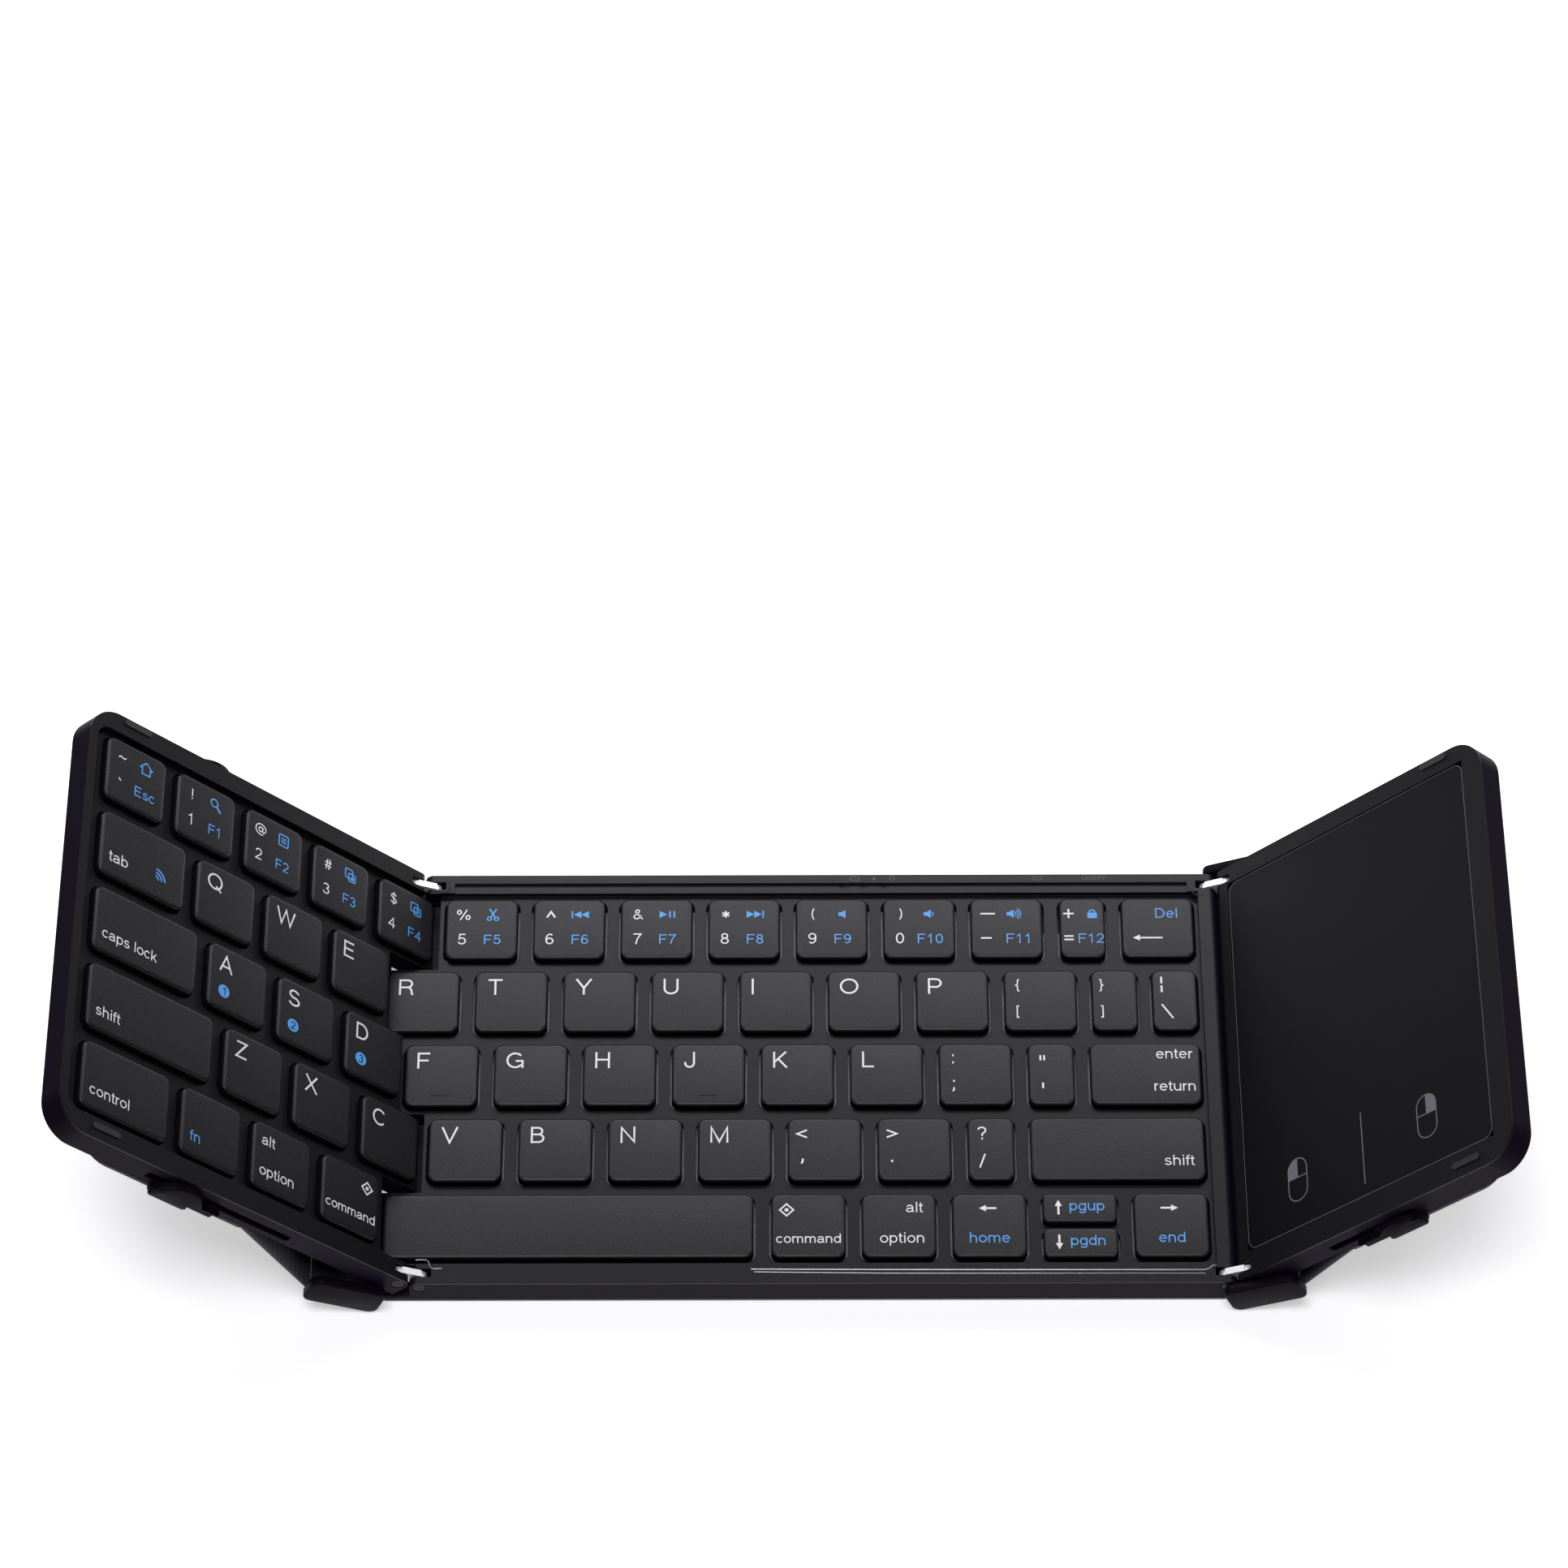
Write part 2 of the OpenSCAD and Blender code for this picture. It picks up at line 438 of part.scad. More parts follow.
// Panels: distances along the wing, outward from its pin
l_crease = 36.54;                 // crease between the left panels
r_crease = 22.93;                 // inner edge of the right panel
mid_below = zp - cover_t/2;       // the panels' middle below the pins
l_panel_len = 40.6;
r_panel_len = 39.7;
// Outer end of a spine's plate, seen from the wing's pin: [along the wing, below the pin]
function fold_at(pu, th) = let (b = th/2,
    u = pu + fold_len*cos(b) + (pz - cover_t/2)*sin(b) + pin_gap/2 - pin_gap*cos(b),
    v = pz - zp + fold_len*sin(b) - (pz - cover_t/2)*cos(b) - pin_gap*sin(b))
    [u*cos(th) + v*sin(th), u*sin(th) - v*cos(th)];
l_fold = fold_at(7.85, left_fold);
r_fold = fold_at(0.6, right_fold);
// Middle of the hooks, and the slots that they slide in
l_hook = 52.2;
r_hook = 34.4;
lslot1 = xl - pin_gap/2 - 27.1;
lslot0 = xl - pin_gap/2 - 62.9;
rslot0 = xr + pin_gap/2 + 20.1;
rslot1 = xr + pin_gap/2 + 41.4;
clip_w = 15.8;

module panel_plate(len) difference() {
    union() {
        translate([0, yf]) square([len - end_r, depth]);
        translate([0, yf + end_r]) square([len, depth - 2*end_r]);
        for (y = [yf + end_r, yr - end_r]) translate([len - end_r, y]) circle(end_r, $fn = 48);
    }
}
module left_outer_panel() color("#2b2a31") on_left_wing() difference() {
    translate([xl - pin_gap/2 - l_crease - 0.3, 0, 0]) linear_extrude(cover_t) mirror([1, 0]) panel_plate(l_panel_len);
    clip_room(xl - pin_gap/2 - l_hook);
}
module right_panel() color("#2b2a31") on_right_wing() difference() {
    translate([xr + pin_gap/2 + r_crease + 0.3, 0, 0]) linear_extrude(cover_t) panel_plate(r_panel_len);
    clip_room(xr + pin_gap/2 + r_hook);
}
module clip_room(x) for (s = [0, 1]) mirror([0, s, 0]) translate([x - clip_w/2 - 0.05, yr - 3.05, -1]) cube([clip_w + 0.1, 4, 4]);
// Clip: a foot in the panel, a domed tab up the wing's side and a hook in its slot
module clip(x, s, h) for (m = [0, 1]) mirror([0, m, 0]) {
    translate([x - clip_w/2, yr - 3, 0]) cube([clip_w, 4.8, cover_t]);
    intersection() {
        translate([x - clip_w/2, yr + 0.3, 0]) cube([clip_w, 1.5, h]);
        union() {
            translate([x - clip_w/2, yr, 0]) cube([clip_w, 3, 3.2]);
            translate([x + s*1.8, yr + 3, h - 6]) rotate([90, 0, 0]) cylinder(h = 4, r = 6, $fn = 64);
        }
    }
    translate([x - 3, yr - 1.9, zp - 2.4]) cube([6, 2.4, 1.4]);
}
module left_slide_clips() color("#1d1b22") on_left_wing() clip(xl - pin_gap/2 - l_hook, -1, 6.4);
module right_slide_clips() color("#1d1b22") on_right_wing() clip(xr + pin_gap/2 + r_hook, 1, 4.9);
// Flexible panels: drawn straight from the crease back to the end of the spine
module flex_plate(run, drop) rotate([0, atan2(drop, run), 0]) translate([0.3, yf + 0.2, -cover_t/2]) cube([sqrt(run*run + drop*drop) - 1.0, depth - 0.4, cover_t]);
module left_inner_panel() color("#2b2a31") on_left_wing() translate([xl - pin_gap/2 - l_crease, 0, cover_t/2]) flex_plate(l_crease - l_fold[0], l_fold[1] - mid_below);
module right_fold_strip() color("#2b2a31") on_right_wing() translate([xr + pin_gap/2 + r_crease, 0, cover_t/2]) mirror([1, 0, 0]) flex_plate(r_crease - r_fold[0], r_fold[1] - mid_below);

// Keys of the left wing
module esc_key() on_left_wing() caps(esc_l, 0);
module left_digit_keys() on_left_wing() caps(digit_l, 0);
module tab_key() on_left_wing() caps(tab_l, 1);
module left_top_keys() on_left_wing() caps(top_l, 1);
module caps_key() on_left_wing() caps(caps_l, 2);
module left_home_keys() on_left_wing() caps(home_l, 2);
module left_shift_key() on_left_wing() caps(shift_l, 3);
module left_bottom_keys() on_left_wing() caps(bottom_l, 3);
module control_key() on_left_wing() caps(control_l, 4);
module fn_key() on_left_wing() caps(fn_l, 4);
module left_alt_key() on_left_wing() caps(alt_l, 4);
module left_command_key() on_left_wing() caps(command_l, 4);
// Keys of the centre
module digit_keys() caps(digit_c, 0);
module equals_key() caps(equals_c, 0);
module delete_key() caps(delete_c, 0);
module top_keys() caps(top_c, 1);
module bracket_key() caps(bracket_c, 1);
module backslash_key() caps(backslash_c, 1);
module home_keys() caps(home_c, 2);
module quote_key() caps(quote_c, 2);
module enter_key() caps(enter_c, 2);
module bottom_keys() caps(bottom_c, 3);
module slash_key() caps(slash_c, 3);
module right_shift_key() caps(shift_c, 3);
module space_bar() caps(space_c, 4);
module right_modifier_keys() caps(mod_c, 4);
module left_arrow_key() caps(left_arrow_c, 4);
module right_arrow_key() caps(right_arrow_c, 4);
// The two half-height arrow keys
module half_cap(dy) color("#1c1c1e") {
    x = page_c[0][0];
    difference() {
        translate([x, row_y(4) + dy, zt - cap_h]) linear_extrude(cap_h) rrect(cap_w, half_d, 1.3);
        translate([x + 1.1, row_y(4) + dy + 1.1, zt - cap_h - 1]) cube([cap_w - 2.2, half_d - 2.2, 2.2]);
    }
    translate([x + cap_w/2, row_y(4) + dy + half_d/2, zt - cap_h]) cylinder(h = 1.3, r = 1.6, $fn = 24);
}
module up_arrow_key() half_cap(half_d + 1.0);
module down_arrow_key() half_cap(0);

centre_shell();
centre_frame();
left_shell();
left_frame();
right_shell();
right_frame();
touchpad_panel();
touchpad_board();
main_board();
battery();
centre_switch_sheet();
left_switch_sheet();
charging_port();
power_switch();
indicator_lights();
left_hinge_links();
right_hinge_links();
left_hinge_pins();
right_hinge_pins();
base_cover();
left_spine();
right_spine();
left_inner_panel();
left_outer_panel();
right_fold_strip();
right_panel();
left_bumpers();
right_bumpers();
left_slide_clips();
right_slide_clips();
esc_key();
left_digit_keys();
tab_key();
left_top_keys();
caps_key();
left_home_keys();
left_shift_key();
left_bottom_keys();
control_key();
fn_key();
left_alt_key();
left_command_key();
digit_keys();
equals_key();
delete_key();
top_keys();
bracket_key();
backslash_key();
home_keys();
quote_key();
enter_key();
bottom_keys();
slash_key();
right_shift_key();
space_bar();
right_modifier_keys();
left_arrow_key();
up_arrow_key();
down_arrow_key();
right_arrow_key();
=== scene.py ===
import bpy
import bmesh
import math
from mathutils import Matrix, Vector


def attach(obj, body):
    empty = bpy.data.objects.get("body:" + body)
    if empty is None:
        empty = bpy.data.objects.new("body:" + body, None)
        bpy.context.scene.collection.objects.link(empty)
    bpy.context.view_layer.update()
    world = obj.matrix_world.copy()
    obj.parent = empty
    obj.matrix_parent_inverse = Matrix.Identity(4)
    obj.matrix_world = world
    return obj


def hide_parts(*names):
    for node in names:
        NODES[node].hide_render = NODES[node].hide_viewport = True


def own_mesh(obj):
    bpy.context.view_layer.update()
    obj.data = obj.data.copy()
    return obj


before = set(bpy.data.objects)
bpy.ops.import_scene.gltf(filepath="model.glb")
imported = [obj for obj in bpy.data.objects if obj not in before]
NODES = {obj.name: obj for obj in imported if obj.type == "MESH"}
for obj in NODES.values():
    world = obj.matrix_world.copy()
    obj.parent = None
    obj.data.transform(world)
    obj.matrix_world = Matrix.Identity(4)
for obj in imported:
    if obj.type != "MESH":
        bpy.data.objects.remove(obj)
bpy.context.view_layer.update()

# ---------------------------------------------------------------- layout, millimetres, wings drawn flat
ZT, X5, Y0 = 7.3, -77.35, 42.25
PX, PY, CW, CD = 18.0, 17.46, 15.05, 14.73
YR, YF = 47.95, -47.95
XL, XR, ZP, PG = -82.05, 82.05, 5.3, 4.4
KR, KL = X5 + 154.1, X5 - 5 * PX
XROW1, XROW2, XROW3, XROW4 = X5 - 0.638 * PX, X5 - 0.3953 * PX, X5 - 0.0966 * PX, X5 - 0.565 * PX
LX1, LX2, LX3, LX4 = XROW1 - 3 * PX, XROW2 - 3 * PX, XROW3 - 3 * PX, KL + 21.71 + PX - CW
GAP = PX - CW
TL, TR = math.radians(45.7), math.radians(46.1)


def T(x, y, z):
    return Matrix.Translation((x, y, z))


def about(x, z, a):
    return T(x, 0, z) @ Matrix.Rotation(a, 4, "Y") @ T(-x, 0, -z)


I4 = Matrix.Identity(4)
ML_LINK = about(XL + PG / 2, ZP, TL / 2)
MR_LINK = about(XR - PG / 2, ZP, -TR / 2)
ML = ML_LINK @ about(XL - PG / 2, ZP, TL / 2)
MR = MR_LINK @ about(XR + PG / 2, ZP, -TR / 2)
PLX, PRX, PZ = XL - 7.85, XR + 0.6, 1.95
MSL = about(PLX, PZ, TL / 2)
MSR = about(PRX, PZ, -TR / 2)
WLX, WRX = XL - PG / 2, XR + PG / 2


def row_rear(k):
    return Y0 - k * PY


# ---------------------------------------------------------------- materials
def mat(name, color, rough=0.5, metal=0.0, spec=0.5, grain=0.0, grain_scale=4000.0, bump=0.0,
        rough_var=0.0, edge=0.0, coat=0.0, sheen=0.0, tint=None):
    m = bpy.data.materials.new(name)
    m.use_nodes = True
    nt = m.node_tree
    b = nt.nodes["Principled BSDF"]
    b.inputs["Base Color"].default_value = (*color, 1)
    b.inputs["Roughness"].default_value = rough
    b.inputs["Metallic"].default_value = metal
    b.inputs["Specular IOR Level"].default_value = spec
    if coat:
        b.inputs["Coat Weight"].default_value = coat
        b.inputs["Coat Roughness"].default_value = 0.12
    if sheen:
        b.inputs["Sheen Weight"].default_value = sheen
    tc = nt.nodes.new("ShaderNodeTexCoord")
    if grain or bump or rough_var:
        n = nt.nodes.new("ShaderNodeTexNoise")
        n.inputs["Scale"].default_value = grain_scale
        n.inputs["Detail"].default_value = 3
        n.inputs["Roughness"].default_value = 0.6
        nt.links.new(tc.outputs["Object"], n.inputs["Vector"])
        n2 = nt.nodes.new("ShaderNodeTexNoise")
        n2.inputs["Scale"].default_value = 28
        n2.inputs["Detail"].default_value = 4
        nt.links.new(tc.outputs["Object"], n2.inputs["Vector"])
    if grain:
        mr = nt.nodes.new("ShaderNodeMapRange")
        mr.inputs["From Min"].default_value = 0.38
        mr.inputs["From Max"].default_value = 0.74
        nt.links.new(n.outputs["Fac"], mr.inputs["Value"])
        mx = nt.nodes.new("ShaderNodeMix")
        mx.data_type = "RGBA"
        mx.inputs["A"].default_value = (*[c * (1 - grain * 0.5) for c in color], 1)
        t2 = tint or [min(1, c * (1 + grain * 1.6)) for c in color]
        mx.inputs["B"].default_value = (*t2, 1)
        nt.links.new(mr.outputs["Result"], mx.inputs["Factor"])
        mx2 = nt.nodes.new("ShaderNodeMix")
        mx2.data_type = "RGBA"
        mx2.blend_type = "MULTIPLY"
        mx2.inputs["Factor"].default_value = 0.25
        nt.links.new(mx.outputs["Result"], mx2.inputs["A"])
        nt.links.new(n2.outputs["Fac"], mx2.inputs["B"])
        nt.links.new(mx2.outputs["Result"], b.inputs["Base Color"])
    if rough_var:
        mr2 = nt.nodes.new("ShaderNodeMapRange")
        mr2.inputs["To Min"].default_value = rough - rough_var
        mr2.inputs["To Max"].default_value = rough + rough_var
        nt.links.new(n2.outputs["Fac"], mr2.inputs["Value"])
        nt.links.new(mr2.outputs["Result"], b.inputs["Roughness"])
    last = None
    if edge:
        bv = nt.nodes.new("ShaderNodeBevel")
        bv.samples = 6
        bv.inputs["Radius"].default_value = edge / 1000
        last = bv.outputs["Normal"]
    if bump:
        bp = nt.nodes.new("ShaderNodeBump")
        bp.inputs["Strength"].default_value = bump
        bp.inputs["Distance"].default_value = 0.00004
        nt.links.new(n.outputs["Fac"], bp.inputs["Height"])
        if last:
            nt.links.new(last, bp.inputs["Normal"])
        last = bp.outputs["Normal"]
    if last:
        nt.links.new(last, b.inputs["Normal"])
    return m


def cloth_mat(name, dark, light):
    m = bpy.data.materials.new(name)
    m.use_nodes = True
    nt = m.node_tree
    b = nt.nodes["Principled BSDF"]
    b.inputs["Roughness"].default_value = 0.82
    b.inputs["Specular IOR Level"].default_value = 0.3
    b.inputs["Sheen Weight"].default_value = 0.25
    b.inputs["Sheen Roughness"].default_value = 0.5
    tc = nt.nodes.new("ShaderNodeTexCoord")
    w1 = nt.nodes.new("ShaderNodeTexWave")
    w1.bands_direction = "X"
    w2 = nt.nodes.new("ShaderNodeTexWave")
    w2.bands_direction = "Y"
    for w in (w1, w2):
        w.inputs["Scale"].default_value = 420
        w.inputs["Distortion"].default_value = 0.6
        w.inputs["Detail"].default_value = 1
        nt.links.new(tc.outputs["Object"], w.inputs["Vector"])
    mm = nt.nodes.new("ShaderNodeMath")
    mm.operation = "MULTIPLY"
    nt.links.new(w1.outputs["Fac"], mm.inputs[0])
    nt.links.new(w2.outputs["Fac"], mm.inputs[1])
    n = nt.nodes.new("ShaderNodeTexNoise")
    n.inputs["Scale"].default_value = 900
    n.inputs["Detail"].default_value = 5
    nt.links.new(tc.outputs["Object"], n.inputs["Vector"])
    ad = nt.nodes.new("ShaderNodeMath")
    ad.operation = "MULTIPLY_ADD"
    ad.inputs[1].default_value = 0.55
    nt.links.new(n.outputs["Fac"], ad.inputs[0])
    nt.links.new(mm.outputs[0], ad.inputs[2])
    mx = nt.nodes.new("ShaderNodeMix")
    mx.data_type = "RGBA"
    mx.inputs["A"].default_value = (*dark, 1)
    mx.inputs["B"].default_value = (*light, 1)
    nt.links.new(ad.outputs[0], mx.inputs["Factor"])
    nt.links.new(mx.outputs["Result"], b.inputs["Base Color"])
    bp = nt.nodes.new("ShaderNodeBump")
    bp.inputs["Strength"].default_value = 0.6
    bp.inputs["Distance"].default_value = 0.0001
    nt.links.new(ad.outputs[0], bp.inputs["Height"])
    nt.links.new(bp.outputs["Normal"], b.inputs["Normal"])
    return m


M_KEY = mat("key_top_plastic", (0.0092, 0.0086, 0.0106), 0.42, spec=0.33, grain=0.9, grain_scale=3000, bump=0.6, rough_var=0.08)
# darker copy of the key plastic for the caps' steep sides: painted shade, the sides are the same plastic as the tops
M_KEY_SIDE_SHADE = mat("key_side_painted_shade", (0.0024, 0.0021, 0.0030), 0.55, spec=0.12, grain=0.4, grain_scale=3000, bump=0.3)
M_FRAME = mat("frame_plastic", (0.0036, 0.0033, 0.0046), 0.38, spec=0.25, grain=0.35, grain_scale=4200, bump=0.18, rough_var=0.04, edge=0.06)
M_SHELL = mat("shell_anodised", (0.0085, 0.0050, 0.0145), 0.50, metal=0.1, spec=0.05, grain=0.25, grain_scale=6500, bump=0.12, rough_var=0.06, edge=0.22)
M_PAD = mat("touch_surface", (0.0018, 0.0015, 0.0028), 0.34, spec=0.22, grain=0.35, grain_scale=5200, bump=0.10, rough_var=0.03, edge=0.15)
M_TRIM = mat("trim_plastic", (0.0050, 0.0034, 0.0082), 0.45, spec=0.05, grain=0.25, grain_scale=3500, bump=0.10, rough_var=0.05)
# hinge links: bright steel, lifted to a near-white colour as painted reflection of the bright surroundings
M_LINK_GLARE = mat("link_steel_painted_glare", (0.88, 0.88, 0.89), 0.30, metal=0.35, grain=0.04, grain_scale=3000, rough_var=0.04, edge=0.10)
M_STEEL = mat("pin_steel", (0.0110, 0.0085, 0.0140), 0.40, metal=0.4, spec=0.22, grain=0.15, grain_scale=3000, rough_var=0.08, edge=0.08)
M_RUBBER = mat("bumper_rubber", (0.016, 0.016, 0.018), 0.62, grain=0.3, grain_scale=3000, bump=0.2)
M_PCB = mat("circuit_board", (0.010, 0.045, 0.022), 0.4, grain=0.3, grain_scale=900, edge=0.1)
M_FILM = mat("switch_film", (0.50, 0.51, 0.52), 0.35, grain=0.15, grain_scale=900)
M_CELL = mat("battery_foil", (0.55, 0.56, 0.58), 0.28, metal=0.9, grain=0.1, grain_scale=900)
M_PORT = mat("port_metal", (0.60, 0.60, 0.62), 0.25, metal=1.0, grain=0.1, grain_scale=2000, edge=0.1)
M_LENS = mat("light_lens", (0.004, 0.004, 0.005), 0.5, spec=0.2, grain=0.1, grain_scale=2000)
# light grey and glossy: painted highlight for the glossy ridges of the black rim, which also reflect the lamps
M_RIDGE_HIGHLIGHT = mat("ridge_painted_highlight", (0.30, 0.29, 0.32), 0.16, metal=0.7, coat=0.5, grain=0.15, grain_scale=900)
M_WHITE = mat("legend_white", (0.84, 0.84, 0.84), 0.5, grain=0.04, grain_scale=3000)
M_BLUE = mat("legend_blue", (0.090, 0.380, 0.860), 0.5, grain=0.04, grain_scale=3000)
M_GREY = mat("legend_grey", (0.150, 0.165, 0.190), 0.5, grain=0.05, grain_scale=3000)
M_FAINT = mat("legend_faint", (0.060, 0.060, 0.066), 0.42, grain=0.1, grain_scale=3000)
# near-black for the screw heads' cross recesses: painted shade
M_RECESS_SHADE = mat("recess_painted_shade", (0.003, 0.003, 0.0035), 0.7, grain=0.1, grain_scale=2000)
M_CLOTH = cloth_mat("cover_cloth", (0.008, 0.007, 0.011), (0.030, 0.025, 0.038))
M_FLOOR = mat("studio_floor", (0.90, 0.90, 0.90), 0.6)
M_FLOOR.node_tree.nodes["Principled BSDF"].inputs["Emission Color"].default_value = (1, 1, 1, 1)
M_FLOOR.node_tree.nodes["Principled BSDF"].inputs["Emission Strength"].default_value = 0.48


# ---------------------------------------------------------------- mesh helpers
def make(name, verts, faces, material, M=I4, body=None, smooth=True, angle=40, replaces=()):
    me = bpy.data.meshes.new(name)
    me.from_pydata([tuple((M @ Vector(v)) * 0.001) for v in verts], [], faces)
    me.validate()
    bm = bmesh.new()
    bm.from_mesh(me)
    bmesh.ops.recalc_face_normals(bm, faces=bm.faces)
    for f in bm.faces:
        f.smooth = smooth
    if smooth:
        for e in bm.edges:
            if len(e.link_faces) == 2 and e.calc_face_angle(0) > math.radians(angle):
                e.smooth = False
    bm.to_mesh(me)
    bm.free()
    me.materials.append(material)
    ob = bpy.data.objects.new(name, me)
    bpy.context.scene.collection.objects.link(ob)
    if replaces:
        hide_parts(*replaces)
    if body:
        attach(ob, body)
    return ob


def shade_cap_sides(ob, M):
    """Gives the steep sides of the caps below their soft top edge a darker copy of the key plastic: painted shade."""
    ob.data.materials.append(M_KEY_SIDE_SHADE)
    inv = M.inverted()
    for p in ob.data.polygons:
        # faces below z 6.75 take the painted shade
        if (inv @ (Vector(p.center) * 1000)).z < 6.75:
            p.material_index = 1


def rr(x0, y0, x1, y1, r, n=8):
    r = max(min(r, (x1 - x0) / 2 - 1e-4, (y1 - y0) / 2 - 1e-4), 0.01)
    pts = []
    for cx, cy, a0 in ((x1 - r, y1 - r, 0), (x0 + r, y1 - r, 90), (x0 + r, y0 + r, 180), (x1 - r, y0 + r, 270)):
        for i in range(n + 1):
            a = math.radians(a0 + 90 * i / n)
            pts.append((cx + r * math.cos(a), cy + r * math.sin(a)))
    return pts


def stack(rings, V, F, cap_top=True, cap_bottom=True):
    """rings: lists of 3-D points of equal length, bottom first."""
    base = len(V)
    n = len(rings[0])
    for rg in rings:
        V.extend(rg)
    for k in range(len(rings) - 1):
        a, b = base + k * n, base + (k + 1) * n
        for i in range(n):
            j = (i + 1) % n
            F.append((a + i, a + j, b + j, b + i))
    if cap_top:
        F.append(tuple(base + (len(rings) - 1) * n + i for i in range(n)))
    if cap_bottom:
        F.append(tuple(base + n - 1 - i for i in range(n)))


def slab(V, F, x0, y0, x1, y1, r, prof, n=8):
    """A rounded slab; prof is a list of (inset, z), bottom first."""
    stack([[(p[0], p[1], z) for p in rr(x0 + i, y0 + i, x1 - i, y1 - i, max(r - i, 0.15), n)] for i, z in prof], V, F)


def rod(V, F, path, r, n=12, flat=None):
    """A round rod along a polyline."""
    rings = []
    for k, p in enumerate(path):
        p = Vector(p)
        a = Vector(path[max(k - 1, 0)])
        b = Vector(path[min(k + 1, len(path) - 1)])
        d = (b - a).normalized()
        u = d.cross(Vector((0, 0, 1)))
        if u.length < 1e-3:
            u = Vector((1, 0, 0))
        u.normalize()
        v = u.cross(d)
        rings.append([tuple(p + u * (r * math.cos(2 * math.pi * i / n)) + v * (r * math.sin(2 * math.pi * i / n))) for i in range(n)])
    stack(rings, V, F)


def extrude_y(V, F, prof, ya, yb, bev=0.25):
    """prof: closed list of (x, z); extruded along Y with bevelled ends (scaled about the centre)."""
    cx = sum(p[0] for p in prof) / len(prof)
    cz = sum(p[1] for p in prof) / len(prof)
    w = max(abs(p[0] - cx) for p in prof)
    h = max(abs(p[1] - cz) for p in prof)

    def shrink(d):
        return [(cx + (p[0] - cx) * (1 - d / w), cz + (p[1] - cz) * (1 - d / h)) for p in prof]

    s = 1 if yb > ya else -1
    steps = ((bev, 0), (bev * 0.35, bev * 0.3), (0, bev))
    rings = []
    for d, off in steps:
        rings.append([(x, ya + s * off, z) for x, z in shrink(d)])
    for d, off in reversed(steps):
        rings.append([(x, yb - s * off, z) for x, z in shrink(d)])
    stack(rings, V, F)


def poly_round(pts, radii, n=6):
    """Rounds the corners of a closed polygon."""
    out = []
    m = len(pts)
    for i in range(m):
        p, a, b = Vector(pts[i]), Vector(pts[i - 1]), Vector(pts[(i + 1) % m])
        r = radii[i] if isinstance(radii, (list, tuple)) else radii
        da, db = (a - p), (b - p)
        if r <= 0:
            out.append(tuple(p))
            continue
        ang = da.angle(db)
        t = min(r / math.tan(ang / 2), da.length * 0.48, db.length * 0.48)
        rr_ = t * math.tan(ang / 2)
        s, e = p + da.normalized() * t, p + db.normalized() * t
        c = p + (da.normalized() + db.normalized()).normalized() * (rr_ / math.sin(ang / 2))
        v0, v1 = s - c, e - c
        a0, a1 = math.atan2(v0.y, v0.x), math.atan2(v1.y, v1.x)
        d = (a1 - a0 + math.pi) % (2 * math.pi) - math.pi
        for k in range(n + 1):
            q = a0 + d * k / n
            out.append((c.x + rr_ * math.cos(q), c.y + rr_ * math.sin(q)))
    return out


# ---------------------------------------------------------------- legends: thin inlaid shapes and lettering
class Art:
    """Collects thin printed shapes, each a closed solid that stands a hair above the surface."""

    def __init__(self):
        self.V, self.F, self.n = [], [], 0

    def solid(self, top, quads, rims, z):
        self.n += 1
        z = z + 0.0035 * (self.n % 7)
        b, m = len(self.V), len(top)
        self.V.extend((x, y, z) for x, y in top)
        self.V.extend((x, y, z - 0.09) for x, y in top)
        for q in quads:
            self.F.append(tuple(b + i for i in q))
            self.F.append(tuple(b + m + i for i in reversed(q)))
        for rim in rims:
            k = len(rim)
            for i in range(k):
                p, q = rim[i], rim[(i + 1) % k]
                self.F.append((b + p, b + q, b + m + q, b + m + p))

    def poly(self, pts, z):
        n = len(pts)
        self.solid(pts, [tuple(range(n))], [list(range(n))], z)

    def path(self, pts, w, z, closed=False):
        """A ribbon of even width with mitred corners."""
        P = [Vector(p) for i, p in enumerate(pts) if i == 0 or (Vector(p) - Vector(pts[i - 1])).length > 1e-5]
        if closed and (P[0] - P[-1]).length < 1e-5:
            P.pop()
        n = len(P)
        top = []
        for i, p in enumerate(P):
            a = P[i - 1] if (i or closed) else None
            c = P[(i + 1) % n] if (i < n - 1 or closed) else None
            da = (p - a).normalized() if a is not None else None
            dc = (c - p).normalized() if c is not None else None
            if da is None:
                u = Vector((-dc.y, dc.x))
            elif dc is None:
                u = Vector((-da.y, da.x))
            else:
                ua, uc = Vector((-da.y, da.x)), Vector((-dc.y, dc.x))
                u = ua + uc
                u = ua if u.length < 1e-3 else u.normalized()
                u = u / max(u.dot(ua), 0.45)
            top += [tuple(p + u * (w / 2)), tuple(p - u * (w / 2))]
        m = n if closed else n - 1
        quads = [(2 * i, 2 * i + 1, (2 * i + 3) % (2 * n), (2 * i + 2) % (2 * n)) for i in range(m)]
        if closed:
            rims = [[2 * i for i in range(n)], [2 * i + 1 for i in reversed(range(n))]]
        else:
            rims = [[2 * i for i in range(n)] + [2 * i + 1 for i in reversed(range(n))]]
        self.solid(top, quads, rims, z)

    def line(self, p, q, w, z):
        self.path([p, q], w, z)

    def ring(self, cx, cy, r, w, z, a0=0, a1=360, n=28):
        k = max(4, int(n * abs(a1 - a0) / 360))
        full = abs(a1 - a0) >= 359.9
        pts = [(cx + r * math.cos(math.radians(a0 + (a1 - a0) * i / k)), cy + r * math.sin(math.radians(a0 + (a1 - a0) * i / k))) for i in range(k if full else k + 1)]
        self.path(pts, w, z, full)

    def disc(self, cx, cy, r, z, n=28):
        self.poly([(cx + r * math.cos(2 * math.pi * i / n), cy + r * math.sin(2 * math.pi * i / n)) for i in range(n)], z)


